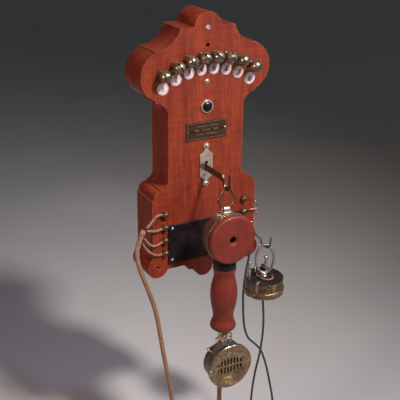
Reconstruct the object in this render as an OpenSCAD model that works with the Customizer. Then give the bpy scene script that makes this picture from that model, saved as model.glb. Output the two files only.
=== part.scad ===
// Antique wooden wall telephone with a handset on its switch hook and a second watch-case receiver.
// X is to the right seen from the front, Y runs into the wall, and Z is up.
// The origin is on the wall plane, on the axis of the hanging hole. Sizes are in millimetres.

/* [Case] */
// Depth of the case from the wall to its front
case_d = 44; // [38:1:54]
// Thickness of the front plank
front_t = 10; // [8:0.5:13]
// Thickness of the case's side walls
wall = 9; // [7:0.5:11]
// Half width of the neck
neck_hw = 52; // [46:1:62]
// Half width of the base
base_hw = 73.7; // [72:0.1:88]
// Half width of the shoulders beside the crest
shoulder_hw = 36.3; // [30:0.1:44]
// Radius of the round crest
crest_r = 18.5; // [15:0.5:22]
// Radius of the two round lobes
lobe_r = 30.3; // [27:0.1:32]
// Radius of the coves under the lobes
cove_r = 16; // [12:0.5:18]
// Length of the straight neck
neck_len = 83.5; // [70:0.5:100]
// Height of the base, down to the bottom rail
base_h = 97; // [88:0.5:110]
// Radius of the two round ears at the base
ear_r = 14.5; // [12:0.5:16]
// Radius of the ears' fixing holes
ear_hole_r = 2.35; // [1.5:0.05:3]
// Radius of the pendant under the bottom rail
pendant_r = 13; // [10:0.5:15]
// Radius of the hanging hole
hang_hole_r = 2.75; // [2:0.05:3.5]
// Thickness of the back board
board_t = 4; // [3:0.5:6]
// Width of the ledge that the back board sits on
ledge = 4; // [3:0.5:5]

/* [Line terminals] */
// Number of line terminals
post_n = 8; // [4:1:8]
// Distance between terminals along the row
post_pitch = 17.4; // [16:0.1:19]
// Radius of the arc that the terminals follow
post_arc_r = 118; // [100:1:140]
// Radius of a terminal's ball head
ball_r = 7.3; // [6:0.1:7.9]
// Distance from the case's front to the middle of a ball
ball_out = 11.4; // [10:0.1:14]
ball_slot = 6.4;  // how deep the slot runs into a ball
// Radius of a number label
label_r = 7.5; // [6:0.1:8.2]
// Distance between labels along the row
label_pitch = 16.9; // [16.6:0.1:18]
// Drop from the middle terminals to their labels
label_drop = 16; // [15:0.5:20]

/* [Call button] */
// Radius of the button
button_r = 6.4; // [5:0.1:8]
// Outside radius of the button's bezel
bezel_r = 8.5; // [8:0.1:11]
// Travel of the button
button_travel = 2.5; // [1.5:0.1:3]

/* [Switch hook] */
// Thickness of the hook lever
lever_t = 2.4; // [2:0.1:4]
// Height of the hook lever's bar
lever_h = 10; // [8:0.5:12]
// Distance from the case's front to the line that the handset hangs on
reach = 52; // [46:1:60]
// Inside radius of the hook
hook_r = 5; // [4:0.1:6]
// Rise of the hook lever in degrees when the handset is lifted
lever_rise = 6; // [3:0.5:7]
// Radius of the lever's pivot pin
pin_r = 1.5; // [1:0.1:2.5]

/* [Handset] */
// Radius of the ear cap
ear_cap_r = 31.5; // [28:0.5:35]
// Radius of the receiver's metal can
can_r = 30; // [27:0.5:31]
// Radius of the hole in the ear cap
ear_bore_r = 4.2; // [3:0.1:6]
// Length of the turned handle
handle_len = 88; // [80:1:100]
// Largest radius of the turned handle
handle_r = 17.3; // [15:0.1:20]
// Radius of the rod through the handle
rod_r = 3; // [2:0.1:4]
// Radius of the mouthpiece grille
grille_r = 31; // [28.5:0.5:35]
// Radius of the microphone's can
mic_r = 27.5; // [25:0.5:27.5]
// Depth of the microphone's can
mic_d = 21; // [18:0.5:26]
// Radius of the hanging ring's wire
ring_wire_r = 1.4; // [1:0.1:1.8]

/* [Second receiver] */
// Radius of the second receiver's case
second_r = 26; // [22:0.5:28]
// Height of the second receiver's case
second_h = 18; // [15:0.5:22]
// Radius of the magnet loop's rod
magnet_wire_r = 1.9; // [1.4:0.1:2.4]

/* [Wires and cords] */
// Radius of the braided handset cord
cord_r = 3; // [2.5:0.1:3.5]
// Radius of the second receiver's cord
thin_cord_r = 1.5; // [1.2:0.1:1.8]
// Radius of the cord's four separate conductors
tail_r = 1.5; // [1:0.1:1.8]

/* [Hidden] */
$fn = 48;
fit = 0.1;   // running clearance
eps = 0.01;

// Case outline, seen from the front
crest_z = 20.5;
shoulder_z = 22;
shoulder_drop = 7.5;
flank_r = 31.5;
flank_x = shoulder_hw + flank_r - 0.5;
flank_z = shoulder_z + shoulder_drop;
step_hw = neck_hw + cove_r;
lobe_x = neck_hw + 5;
lobe_z = -31.5;
cove_z = lobe_z - lobe_r * sin(acos((step_hw - lobe_x) / lobe_r)) - 3 - cove_r;
neck_bottom = cove_z - neck_len;
foot_cove_r = 10;
foot_step = 2;
foot_hw = neck_hw + foot_cove_r;
ovolo_r = 9.5;
base_top = neck_bottom - foot_cove_r - foot_step - ovolo_r - 1.5;
rail_z = base_top - base_h;
ear_x = base_hw - 7.2;
ear_z = rail_z + 5;
apron_hw = 22;
apron_drop = 8;
cavity_top = -12;
cavity_bottom = rail_z + 13.5;
front_y = -case_d;
inner_y = front_y + front_t;

// Terminals on the front
post_top = -12;
label_arc_r = post_arc_r - 13;
post_shank_r = 2;
post_nut_r = 4.6;
function row_x(i, pitch) = (i - (post_n - 1) / 2) * pitch;
function arc_drop(x, r) = r - sqrt(r * r - x * x);
post_places = [for (i = [0:post_n - 1]) let(x = row_x(i, post_pitch))
    [x, post_top - arc_drop(x, post_arc_r)]];
label_places = [for (i = [0:post_n - 1]) let(x = row_x(i, label_pitch))
    [x, post_top - label_drop - arc_drop(x, label_arc_r)]];

// Call button, name plate and switch
button_z = cove_z + 4.5;
barrel_r = bezel_r - 1.1;
button_flange_t = 2;
button_back = front_y + 4;
spring_r = 4;
spring_wire_r = 0.4;
spring_turns = 4;
plate_z = cove_z - 25;
plate_hw = 28.3;
plate_hh = 11.6;
plate_t = 1;
switch_top = cove_z - 45.5;
switch_len = 49.3;
switch_t = 1.5;
switch_hw = 9;
switch_screw_r = 1.5;
pivot_z = switch_top - 27.5;
pivot_y = inner_y + 8;
bar_top = pivot_z + lever_h / 2 + 0.2;
bar_bottom = bar_top - lever_h;
slot_hw = lever_t / 2 + 1;
slot_top = bar_top + (pivot_y - front_y) * sin(lever_rise) + 1;
slot_bottom = bar_bottom - 0.6;
hang_y = front_y - reach;
hook_t = 3.6;
hook_z = pivot_z - 5.2;
hook_bottom = hook_z - hook_r;
prong_top = hook_z + 14;
cheek_t = 2;
cheek_gap = 0.6;

// Hanging ring and handset
ring_apex_hw = 2.5;
ring_top = hook_bottom + ring_wire_r + 0.1;
ring_hw = 12;
ring_mid = ring_top - 16.3;
ring_foot_hw = 6;
ring_bottom = ring_top - 28.1;
can_z = ring_bottom - 4.7 - can_r;
ear_face = hang_y - 20;
cap_t = 8;
can_front = ear_face + cap_t + 1;
can_back = hang_y + 6;
can_wall = 1.5;
diaphragm_y = can_front + 3.4;
collar_top = can_z - ear_cap_r - 1.5;
handle_top = collar_top - 11;
handle_bottom = handle_top - handle_len;
collar_r = 14.5;
mic_z = handle_bottom - 18.1 - mic_r;
mic_back = hang_y;
mic_front = mic_back - mic_d;
mic_flange_t = 3;
grille_y = mic_front - 2;
rim_screw_r = grille_r - 2.7;

// Lower terminals
side_x = 57;
side_pitch = 17.5;
side_top = base_top - 19.5;
side_places = [for (s = [-1, 1], i = [0:3]) [s * side_x, side_top - i * side_pitch]];
side_collar_r = 4.5;
side_collar_t = 4;
plate2_hw = 52;
plate2_top = base_top - 36;
plate2_h = 52.5;
plate2_t = 3;
fix_x = plate2_hw - 4.5;
fix_z = [plate2_top - 4.2, plate2_top - plate2_h + 5];

// Induction coil behind the front plank
coil_z = -43.8;
coil_y = -18;
coil_hl = 30;
core_r = 4;

// Second receiver, hanging from the side hook
hang2_x = 84.4;
hang2_y = -60;
hang2_z = -274.5;
side_hook_r = 1.25;
side_hook_place = [70, -246];  // where the side hook leaves the front
second_top = hang2_z - 43.5;
magnet_hw = 12;
magnet_top = hang2_z + side_hook_r + magnet_wire_r + 0.1;
magnet_drop = 42;
magnet_turn = -25;

// Free cords: hand-chosen points, from the terminals to what they serve
handset_route = [[-88, -48, -219], [-92, -48, -228], [-96, -48, -238], [-98, -49, -249], [-97, -50, -261],
    [-93, -51, -275], [-88, -52, -290], [-81, -53, -311], [-75, -55, -333], [-71, -57, -362],
    [-67, -59, -394], [-64, -61, -415], [-60, -64, -442], [-58, -67, -468], [-54, -70, -494],
    [-49, -73, -520], [-43, -76, -542], [-35, -80, -559], [-25, -84, -570], [-15, -88, -572],
    [-7, -90, -563], [-2, -92, -545], [0, -92, -520], [0, -92, -495], [0, -92, -470], [0, -92, -448],
    [0, -92, -426]];
receiver_route = [[62, -48, -257], [66, -50, -259], [67, -53, -268], [61, -57, -285], [55, -59, -308],
    [52, -60, -335], [53, -60, -362], [56, -60, -392], [63, -60, -410], [74, -60, -421], [85, -60, -434],
    [91, -60, -450], [96, -60, -465], [102, -60, -490], [108, -60, -515], [112, -60, -540],
    [110, -59, -560], [101, -58, -574], [89, -57, -577], [79, -56, -568], [74, -56, -550],
    [75, -56, -525], [77, -55, -500], [82, -53, -475], [90, -49, -455], [97, -44, -436], [102, -39, -415],
    [104, -35, -395], [104, -31, -375], [102, -30, -350], [100, -30, -332], [99.5, -31, -322],
    [98, -34, -315], [96.8, -42.2, -314]];
tail_routes = [
    [[-62, -47, -204], [-67, -47, -203], [-74, -47, -208], [-80, -48, -214], [-84, -48, -217]],
    [[-62, -47, -222.5], [-68, -47, -224], [-74, -47, -224], [-79, -47.5, -222], [-83.5, -48, -221]],
    [[-62, -47, -240.5], [-66, -47, -243], [-71, -47, -244.5], [-78, -47, -242], [-83, -47.5, -236],
     [-87, -48, -230]],
    [[-62, -47, -257.5], [-68, -47, -258], [-75, -47, -255], [-82, -46, -249], [-87, -45, -241],
     [-89.5, -44, -233]]];

// ---- Helpers ----

// A cylinder along Y, between two depths
module bar_y(r, y0, y1) {
    translate([0, y0, 0]) rotate([-90, 0, 0]) cylinder(r = r, h = y1 - y0);
}

// A cylinder along X, between two places
module bar_x(r, x0, x1) {
    translate([x0, 0, 0]) rotate([0, 90, 0]) cylinder(r = r, h = x1 - x0);
}

// A flat shape drawn in X and Z, from depth y0 to depth y1
module slab(y0, y1) {
    translate([0, y1, 0]) rotate([90, 0, 0]) linear_extrude(height = y1 - y0) children();
}

// A turned shape: its profile is drawn as radius and depth, about an axis along Y
module turned_y() {
    rotate([-90, 0, 0]) rotate_extrude() children();
}

// Places children at (x, z) on the front
module at(place) {
    translate([place[0], 0, place[1]]) children();
}

// A rectangle centred on X, from z0 up to z1
module band2d(hw, z0, z1) {
    translate([-hw, z0]) square([2 * hw, z1 - z0]);
}

// A straight round rod between two points
function unit(v) = v / norm(v);

// The direction of a route at point i
function heading(p, i) = unit(p[min(i + 1, len(p) - 1)] - p[max(i - 1, 0)]);

// One ring of a tube round point p, across the heading t
function ring_at(p, t, r, sides, side_way) = let(u = unit(cross(t, side_way)), w = cross(u, t))
    [for (k = [0:sides - 1]) p + r * (cos(360 * k / sides) * u + sin(360 * k / sides) * w)];

// A cord's or wire's tube, as one closed skin along its route, which never runs along side_way
module tube(p, r, sides = 8, side_way = [0, 1, 0]) {
    n = len(p);
    polyhedron(
        points = [for (i = [0:n - 1]) each ring_at(p[i], heading(p, i), r, sides, side_way)],
        faces = concat(
            [[for (k = [sides - 1:-1:0]) k]],
            [[for (k = [0:sides - 1]) (n - 1) * sides + k]],
            [for (i = [0:n - 2], k = [0:sides - 1]) let(a = i * sides + k, b = i * sides + (k + 1) % sides)
                each [[a, b, a + sides], [b, b + sides, a + sides]]]),
        convexity = 4);
}

// A closed loop of wire in the XZ plane at depth y, through rounded corners
module wire_loop(corners, cut, y, r, sides = 12) {
    n = len(corners);
    p = [for (i = [0:n - 1], t = [0:0.25:1])
        let(a = corners[i] + cut * unit(corners[(i + n - 1) % n] - corners[i]),
            b = corners[i] + cut * unit(corners[(i + 1) % n] - corners[i]),
            q = (1 - t) * (1 - t) * a + 2 * t * (1 - t) * corners[i] + t * t * b)
        [q[0], y, q[1]]];
    m = len(p);
    polyhedron(
        points = [for (i = [0:m - 1])
            each ring_at(p[i], unit(p[(i + 1) % m] - p[(i + m - 1) % m]), r, sides, [0, 1, 0])],
        faces = [for (i = [0:m - 1], k = [0:sides - 1])
            let(a = i * sides + k, b = i * sides + (k + 1) % sides, c = (i + 1) % m * sides)
            each [[a, b, c + k], [b, c + (k + 1) % sides, c + k]]],
        convexity = 6);
}

// Half the profile of a domed head: a round cap on a face at depth y
module dome2d(head_r, head_h, y) {
    dome_r = (head_r * head_r + head_h * head_h) / (2 * head_h);
    intersection() {
        translate([0, y - head_h + dome_r]) circle(r = dome_r);
        translate([0, y - head_h]) square([head_r + 1, head_h]);
    }
}

// A fastener with a domed, slotted head on a face at depth y, its shank running in from there
module slotted_screw(head_r, head_h, shank_r, shank_len, y, turn = 0) {
    difference() {
        union() {
            turned_y() dome2d(head_r, head_h, y);
            bar_y(shank_r, y - eps, y + shank_len);
        }
        rotate([0, turn, 0]) translate([-head_r - 1, y - head_h - 1, -head_r * 0.13])
            cube([2 * head_r + 2, 1 + head_h * 0.55, head_r * 0.26]);
    }
}

// ---- Case ----

module head_outline() {
    translate([0, crest_z]) circle(r = crest_r);
    difference() {
        band2d(step_hw, lobe_z, shoulder_z);
        for (s = [-1, 1]) translate([s * flank_x, flank_z]) circle(r = flank_r);
    }
    for (s = [-1, 1]) translate([s * lobe_x, lobe_z]) circle(r = lobe_r);
    difference() {
        band2d(step_hw, cove_z, lobe_z + 1);
        for (s = [-1, 1]) translate([s * step_hw, cove_z]) circle(r = cove_r);
    }
}

module foot_outline() {
    difference() {
        band2d(foot_hw, neck_bottom - foot_cove_r - foot_step - 1, neck_bottom);
        for (s = [-1, 1]) translate([s * foot_hw, neck_bottom]) circle(r = foot_cove_r);
    }
    for (s = [-1, 1]) translate([s * foot_hw, base_top + 1.5]) circle(r = ovolo_r);
    band2d(foot_hw, base_top - 1, neck_bottom - foot_cove_r - foot_step);
    band2d(foot_hw + ovolo_r, base_top - 1, base_top + 1.5);
    band2d(base_hw, rail_z, base_top);
    for (s = [-1, 1]) translate([s * ear_x, ear_z]) circle(r = ear_r);
}

module apron_outline() {
    difference() {
        band2d(apron_hw + apron_drop, rail_z - apron_drop, rail_z + 1);
        for (s = [-1, 1])
            translate([s * (apron_hw + apron_drop), rail_z - apron_drop]) circle(r = apron_drop);
    }
    translate([0, rail_z - apron_drop]) circle(r = pendant_r);
}

module case_outline() {
    head_outline();
    band2d(neck_hw, neck_bottom - 1, cove_z + 1);
    foot_outline();
    apron_outline();
}

// The hollow behind the front plank, grown by g
module cavity_outline(g) {
    band2d(neck_hw - wall + g, cavity_bottom - g, cavity_top + g);
    for (s = [-1, 1]) translate([s * lobe_x, lobe_z]) circle(r = lobe_r - wall + g);
    band2d(base_hw - wall + g, cavity_bottom - g, base_top - wall + g);
}

board_screw_places = [for (s = [-1, 1]) each [
    [s * (neck_hw - wall + ledge / 2), cove_z - 12],
    [s * (neck_hw - wall + ledge / 2), neck_bottom + 10],
    [s * (base_hw - wall + ledge / 2), base_top - base_h / 2]]];

module front_holes() {
    bar_y(hang_hole_r, front_y - 1, 1);
    at([0, crest_z]) bar_y(1.6, front_y - 1, front_y + 20);
    at([0, coil_z]) bar_y(1.6, front_y - 1, inner_y + 1);
    for (p = post_places) at(p) {
        bar_y(post_shank_r, front_y - 1, inner_y + 1);
        bar_y(post_nut_r + 0.8, inner_y, inner_y + 7);
    }
    at([0, button_z]) bar_y(barrel_r, front_y - 1, inner_y + 1);
    for (s = [-1, 1]) at([s * (plate_hw - 2.8), plate_z]) bar_y(0.6, front_y - 1, front_y + 6);
    for (z = [switch_top, switch_top - switch_len])
        at([0, z]) bar_y(switch_screw_r, front_y - 1, front_y + 8);
    translate([-slot_hw, front_y - 1, slot_bottom]) cube([2 * slot_hw, front_t + 2, slot_top - slot_bottom]);
    for (s = [-1, 1], z = fix_z) at([s * fix_x, z]) bar_y(1, front_y - 1, front_y + 8);
    for (p = side_places) at(p) bar_y(1.6, front_y - 1, inner_y + 1);
    for (s = [-1, 1]) at([s * ear_x, ear_z]) {
        bar_y(ear_hole_r, front_y - 1, 1);
        difference() {
            bar_y(5.6, front_y - 1, front_y + 0.8);
            bar_y(4.4, front_y - 2, front_y + 1);
        }
    }
    at(side_hook_place) bar_y(side_hook_r, front_y - 1, front_y + 12);
}

module case_shell() {
    color("firebrick") difference() {
        slab(front_y, 0) case_outline();
        slab(inner_y, 1) cavity_outline(0);
        slab(-board_t, 1) cavity_outline(ledge);
        front_holes();
        for (p = board_screw_places) at(p) bar_y(1.2, -board_t - 10, 1);
    }
}

module back_board() {
    color("saddlebrown") difference() {
        slab(-board_t, 0) cavity_outline(ledge - fit);
        for (p = board_screw_places) at(p) bar_y(1.2, -board_t - 1, 1);
    }
}

module back_board_screws() {
    color("silver") for (p = board_screw_places) at(p) difference() {
        bar_y(1.2, -board_t - 10, -0.2);
        translate([-2, -0.8, -0.25]) cube([4, 1, 0.5]);
    }
}

module case_screws() {
    color("silver") {
        at([0, crest_z]) difference() {
            union() {
                bar_y(1.6, front_y, front_y + 20);
                turned_y() polygon([[0, front_y - 1.4], [2.2, front_y - 1.4], [3.5, front_y], [0, front_y]]);
            }
            for (turn = [0, 90]) rotate([0, turn, 0]) translate([-2, front_y - 2, -0.4]) cube([4, 1.4, 0.8]);
        }
        at([0, coil_z]) slotted_screw(3.5, 1.6, 1.6, front_t + 2, front_y, 35);
    }
}

// ---- Line terminals ----

module post_collars() {
    color("dimgray") for (p = post_places) at(p) difference() {
        union() {
            bar_y(6.4, front_y - 1.6, front_y);
            bar_y(5.2, front_y - 5, front_y - 1.6);
        }
        bar_y(post_shank_r, front_y - 6, front_y + 1);
        translate([0, front_y - ball_out, 0]) sphere(r = ball_r + eps);
    }
}

slot_turns = [-45, 65, -80, 60, 45, 80, -40, -45];
module post_balls() {
    color("darkkhaki") for (i = [0:post_n - 1]) at(post_places[i]) difference() {
        union() {
            translate([0, front_y - ball_out, 0]) sphere(r = ball_r);
            bar_y(post_shank_r, front_y - ball_out, inner_y + 5);
        }
        rotate([0, slot_turns[i], 0]) translate([-ball_r - 1, front_y - ball_out - ball_r - 1, -0.8])
            cube([2 * ball_r + 2, ball_slot + 1, 1.6]);
    }
}

module post_nuts() {
    color("darkkhaki") for (p = post_places) at(p) difference() {
        translate([0, inner_y, 0]) rotate([-90, 0, 0]) cylinder(r = post_nut_r, h = 3, $fn = 6);
        bar_y(post_shank_r, inner_y - 1, inner_y + 4);
    }
}

module post_labels() {
    color("mistyrose") for (p = label_places) at(p) turned_y()
        polygon([[0, front_y - 1], [label_r - 0.5, front_y - 1], [label_r, front_y - 0.6],
            [label_r, front_y], [0, front_y]]);
}

// ---- Name plate ----

module name_plate() {
    color("saddlebrown") difference() {
        slab(front_y - plate_t, front_y)
            translate([-plate_hw, plate_z - plate_hh]) square([2 * plate_hw, 2 * plate_hh]);
        for (s = [-1, 1]) at([s * (plate_hw - 2.8), plate_z]) bar_y(0.6, front_y - 2, front_y + 1);
    }
}

module name_plate_pins() {
    color("darkkhaki") for (s = [-1, 1]) at([s * (plate_hw - 2.8), plate_z]) {
        turned_y() dome2d(1.3, 0.7, front_y - plate_t);
        bar_y(0.6, front_y - plate_t - eps, front_y + 6);
    }
}

// ---- Call button ----

module button_bezel() {
    color("silver") at([0, button_z]) turned_y() difference() {
        union() {
            polygon([[0, front_y - 1.2], [button_r + 0.4, front_y - button_flange_t],
                [bezel_r - 0.8, front_y - button_flange_t], [bezel_r, front_y - 1], [bezel_r, front_y],
                [0, front_y]]);
            translate([0, front_y - eps]) square([barrel_r, front_t]);
        }
        translate([0, front_y - 10]) square([button_r + fit, front_t + 20]);
    }
}

module call_button() {
    color("black") at([0, button_z]) {
        turned_y() intersection() {
            translate([0, front_y + 4.5]) circle(r = 9.4, $fn = 64);
            translate([0, front_y - 6]) square([button_r, 6 + button_back - front_y]);
        }
        bar_y(1.5, button_back - eps, inner_y + 3);
    }
}

module button_base() {
    color("dimgray") at([0, button_z]) difference() {
        bar_y(bezel_r + 1.5, inner_y, inner_y + 2.5);
        bar_y(1.5 + fit, inner_y - 1, inner_y + 3.5);
    }
}

module button_spring() {
    steps = 9 * spring_turns;
    span = inner_y - button_back - 2 * spring_wire_r - 0.4;
    path = [for (i = [0:steps]) let(a = 360 * spring_turns * i / steps)
        [spring_r * cos(a), button_back + spring_wire_r + 0.2 + span * i / steps, spring_r * sin(a)]];
    color("silver") at([0, button_z]) polyhedron(
        points = [for (i = [0:steps]) let(a = 360 * spring_turns * i / steps)
            for (k = [0:5])
                path[i] + spring_wire_r * [cos(a) * cos(60 * k), sin(60 * k), sin(a) * cos(60 * k)]],
        faces = concat(
            [[for (k = [0:5]) k]],
            [[for (k = [5:-1:0]) steps * 6 + k]],
            [for (i = [0:steps - 1], k = [0:5]) let(a = i * 6 + k, b = i * 6 + (k + 1) % 6)
                each [[a, a + 6, b], [b, a + 6, b + 6]]]));
}

module button_contacts() {
    contact_y = inner_y + 3 + button_travel + 0.5;
    color("darkkhaki") at([0, button_z]) for (s = [-1, 1]) {
        translate([s * 7 - 2, inner_y + 2.5, -2]) cube([4, contact_y - inner_y - 2.5, 4]);
        translate([s > 0 ? 0.4 : -9, contact_y, -2]) cube([8.6, 0.5, 4]);
    }
}

// ---- Hook switch ----

module switch_plate() {
    mid = switch_top - switch_len / 2;
    color("silver") difference() {
        union() {
            for (z = [switch_top, switch_top - switch_len])
                at([0, z]) bar_y(4.2, front_y - switch_t, front_y);
            slab(front_y - switch_t, front_y) polygon([[-2.4, switch_top - 1.9],
                [2.4, switch_top - 1.9], [2.6, switch_top - 6], [switch_hw, switch_top - 11],
                [switch_hw, mid - 14.3], [3, mid - 19], [2.4, switch_top - switch_len + 1.9],
                [-2.4, switch_top - switch_len + 1.9], [-3, mid - 19], [-switch_hw, mid - 14.3],
                [-switch_hw, switch_top - 11], [-2.6, switch_top - 6]]);
        }
        for (z = [switch_top, switch_top - switch_len])
            at([0, z]) bar_y(switch_screw_r, front_y - 3, front_y + 1);
        translate([-slot_hw + 0.2, front_y - 3, slot_bottom + 0.2])
            cube([2 * slot_hw - 0.4, 4, slot_top - slot_bottom - 0.4]);
    }
}

module switch_plate_screws() {
    color("silver") for (z = [switch_top, switch_top - switch_len]) at([0, z])
        slotted_screw(3.2, 2.1, switch_screw_r, 7, front_y - switch_t, 30);
}

module switch_bracket() {
    color("darkkhaki") difference() {
        union() {
            for (s = [-1, 1])
                translate([s > 0 ? slot_hw + cheek_gap : -slot_hw - cheek_gap - cheek_t, inner_y,
                    slot_bottom - 2])
                cube([cheek_t, pivot_y - inner_y + 5, slot_top - slot_bottom + 4]);
            for (s = [-1, 1])
                translate([s > 0 ? slot_hw + cheek_gap : -slot_hw - cheek_gap - 9, inner_y, slot_bottom - 2])
                cube([9, cheek_t, slot_top - slot_bottom + 4]);
        }
        translate([0, pivot_y, pivot_z]) bar_x(pin_r, -20, 20);
    }
}

module lever_pin() {
    pin_hl = slot_hw + cheek_gap + cheek_t + 0.8;
    color("silver") translate([0, pivot_y, pivot_z]) bar_x(pin_r, -pin_hl, pin_hl);
}

module hook_lever() {
    tail_y = pivot_y + 9;
    nose_y = hang_y + 10;
    color("silver") difference() {
        rotate([90, 0, 90]) translate([0, 0, -lever_t / 2]) linear_extrude(height = lever_t) difference() {
            union() {
                polygon([[tail_y, bar_top], [nose_y, bar_top - 1.3], [hang_y + hook_r, hook_z + 1],
                    [hang_y + hook_r, hook_z - 1], [hang_y + hook_r + hook_t, hook_z],
                    [nose_y + 6, bar_bottom + 0.6], [front_y, bar_bottom], [tail_y, bar_bottom]]);
                translate([tail_y - 2.5, bar_top - 1]) square([2.5, 11]);
                translate([hang_y, hook_z]) circle(r = hook_r + hook_t);
                translate([hang_y - hook_r - hook_t, hook_z]) square([hook_t, prong_top - hook_z]);
            }
            translate([hang_y, hook_z]) circle(r = hook_r);
            translate([hang_y - hook_r, hook_z]) square([2 * hook_r, 40]);
        }
        translate([0, pivot_y, pivot_z]) bar_x(pin_r + fit / 2, -10, 10);
    }
}

blade_gap = 4.5;
module switch_springs() {
    color("darkkhaki") for (i = [0:2]) translate([-4, inner_y + 4 + i * blade_gap, bar_top + 6])
        cube([8, 0.6, 23]);
}

module spring_insulators() {
    block_z = bar_top + 17;
    color("dimgray") for (i = [0:3]) {
        y0 = i == 0 ? inner_y : inner_y + 4.6 + (i - 1) * blade_gap;
        translate([-6, y0, block_z]) cube([12, i == 0 ? 4 : blade_gap - 0.6, 14]);
    }
}

// ---- Lower terminals and black plate ----

module terminal_plate() {
    color("black") difference() {
        slab(front_y - plate2_t, front_y) band2d(plate2_hw, plate2_top - plate2_h, plate2_top);
        for (s = [-1, 1], z = fix_z) at([s * fix_x, z]) bar_y(1, front_y - plate2_t - 1, front_y + 1);
        for (p = side_places) at(p) bar_y(side_collar_r + 0.5, front_y - plate2_t - 1, front_y + 1);
    }
}

module terminal_plate_screws() {
    color("silver") for (s = [-1, 1], z = fix_z) at([s * fix_x, z])
        slotted_screw(1.9, 1, 1, plate2_t + 6, front_y - plate2_t, 20);
}

module side_collars() {
    color("dimgray") for (p = side_places) at(p) difference() {
        bar_y(side_collar_r, front_y - side_collar_t, front_y);
        bar_y(1.6, front_y - side_collar_t - 1, front_y + 1);
    }
}

module side_screws() {
    color("darkkhaki") for (i = [0:len(side_places) - 1]) at(side_places[i])
        slotted_screw(3.9, 3.2, 1.6, side_collar_t + front_t + 2, front_y - side_collar_t,
            60 + 35 * (i % 3));
}

module line_wires() {
    y = front_y - 2;
    color("sandybrown") {
        tube([[side_x + side_collar_r, y, side_top - side_pitch], [75, y, side_top - side_pitch],
            [78.5, y, side_top - side_pitch - 1], [76.5, y, side_top - side_pitch + 6],
            [base_hw + 0.9, y, side_top - side_pitch + 11],
            [base_hw + 0.9, -30, side_top - side_pitch + 14]], 0.9, 6, [0.5, 1, 0]);
        tube([[side_x + side_collar_r, y, side_top - 2 * side_pitch], [70.5, y, side_top - 2 * side_pitch - 1],
            [77.3, y, side_top - 2 * side_pitch + 8],
            [base_hw + 2, y, side_top - 2 * side_pitch + 12],
            [base_hw + 0.9, -30, side_top - 2 * side_pitch + 10]], 0.9, 6, [0.5, 1, 0]);
    }
}

// A point of the side hook, s along it from its lowest point and up above that
function side_hook_at(s, up) = [hang2_x + 0.35 * s, hang2_y - 0.94 * s, hang2_z + up];

module side_hook() {
    x = side_hook_place[0];
    z = side_hook_place[1];
    color("dimgray") tube([[x, front_y + 12, z], [x, front_y - 4, z], [x + 0.5, front_y - 6, z - 2.5],
        [x + 3, front_y - 6, z - 10], [x + 7, front_y - 7, z - 15.5], side_hook_at(-8.2, 9.5),
        side_hook_at(-6.4, 2.2), side_hook_at(-4.6, 0), side_hook_at(4.6, 0), side_hook_at(6.2, 2.4),
        side_hook_at(8, 10), side_hook_at(8.6, 17.5)], side_hook_r, 10, [0.94, 0.35, 0]);
}

// ---- Induction coil ----

module coil_bobbin() {
    color("tan") translate([0, coil_y, coil_z]) difference() {
        union() {
            for (s = [-1, 1]) translate([s > 0 ? coil_hl - 3 : -coil_hl, -11, -11]) cube([3, 22, 22]);
            bar_x(core_r + 1, -coil_hl + 1, coil_hl - 1);
        }
        bar_x(core_r, -coil_hl - 1, coil_hl + 1);
    }
}

module coil_winding() {
    color("darkgreen") translate([0, coil_y, coil_z]) difference() {
        bar_x(9.5, -coil_hl + 3, coil_hl - 3);
        bar_x(core_r + 1, -coil_hl, coil_hl);
    }
}

module coil_core() {
    color("gray") translate([0, coil_y, coil_z]) bar_x(core_r, -coil_hl - 4, coil_hl + 4);
}

module coil_bracket() {
    color("darkkhaki") difference() {
        union() {
            translate([-coil_hl - 2, inner_y, coil_z - 5]) cube([2 * coil_hl + 4, 2, 10]);
            for (s = [-1, 1]) translate([s > 0 ? coil_hl : -coil_hl - 2, inner_y, coil_z - 7])
                cube([2, coil_y - inner_y + 7, 14]);
        }
        translate([0, coil_y, coil_z]) bar_x(core_r, -50, 50);
        at([0, coil_z]) bar_y(1.6, inner_y - 1, inner_y + 3);
        at([0, coil_z]) bar_y(2.5, inner_y + 2, inner_y + 5);
    }
}

// ---- Hanging ring and receiver ----

module hanging_ring() {
    color("silver") wire_loop([[-ring_apex_hw, ring_top], [ring_apex_hw, ring_top], [ring_hw, ring_mid],
        [ring_foot_hw, ring_bottom], [-ring_foot_hw, ring_bottom], [-ring_hw, ring_mid]],
        ring_apex_hw - 0.3, hang_y, ring_wire_r);
}

module ring_lug() {
    color("silver") difference() {
        union() {
            translate([0, hang_y, ring_bottom]) bar_x(ring_wire_r + 1.5, -4.2, 4.2);
            translate([-4.2, hang_y - ring_wire_r - 1.5, can_z + can_r - 2])
                cube([8.4, 2 * ring_wire_r + 3, ring_bottom - can_z - can_r + 2]);
            translate([-6.5, hang_y - 5, can_z + can_r - 3]) cube([13, 9, 4.2]);
        }
        translate([0, hang_y, ring_bottom]) bar_x(ring_wire_r + fit, -10, 10);
        at([0, can_z]) bar_y(can_r + eps, hang_y - 30, hang_y + 30);
    }
}

module receiver_can() {
    color("darkkhaki") at([0, can_z]) turned_y() difference() {
        translate([0, can_front]) square([can_r, can_back - can_front]);
        translate([0, can_front - 1]) square([can_r - can_wall, diaphragm_y - can_front + 1.6]);
        translate([0, can_front]) square([can_r - 4, can_back - can_front - 2]);
    }
}

module receiver_band() {
    color("silver") at([0, can_z]) turned_y() difference() {
        translate([0, can_front - 0.9]) square([ear_cap_r + 0.7, 3.4]);
        translate([0, can_front - 2]) square([can_r + eps, 6]);
    }
}

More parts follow.
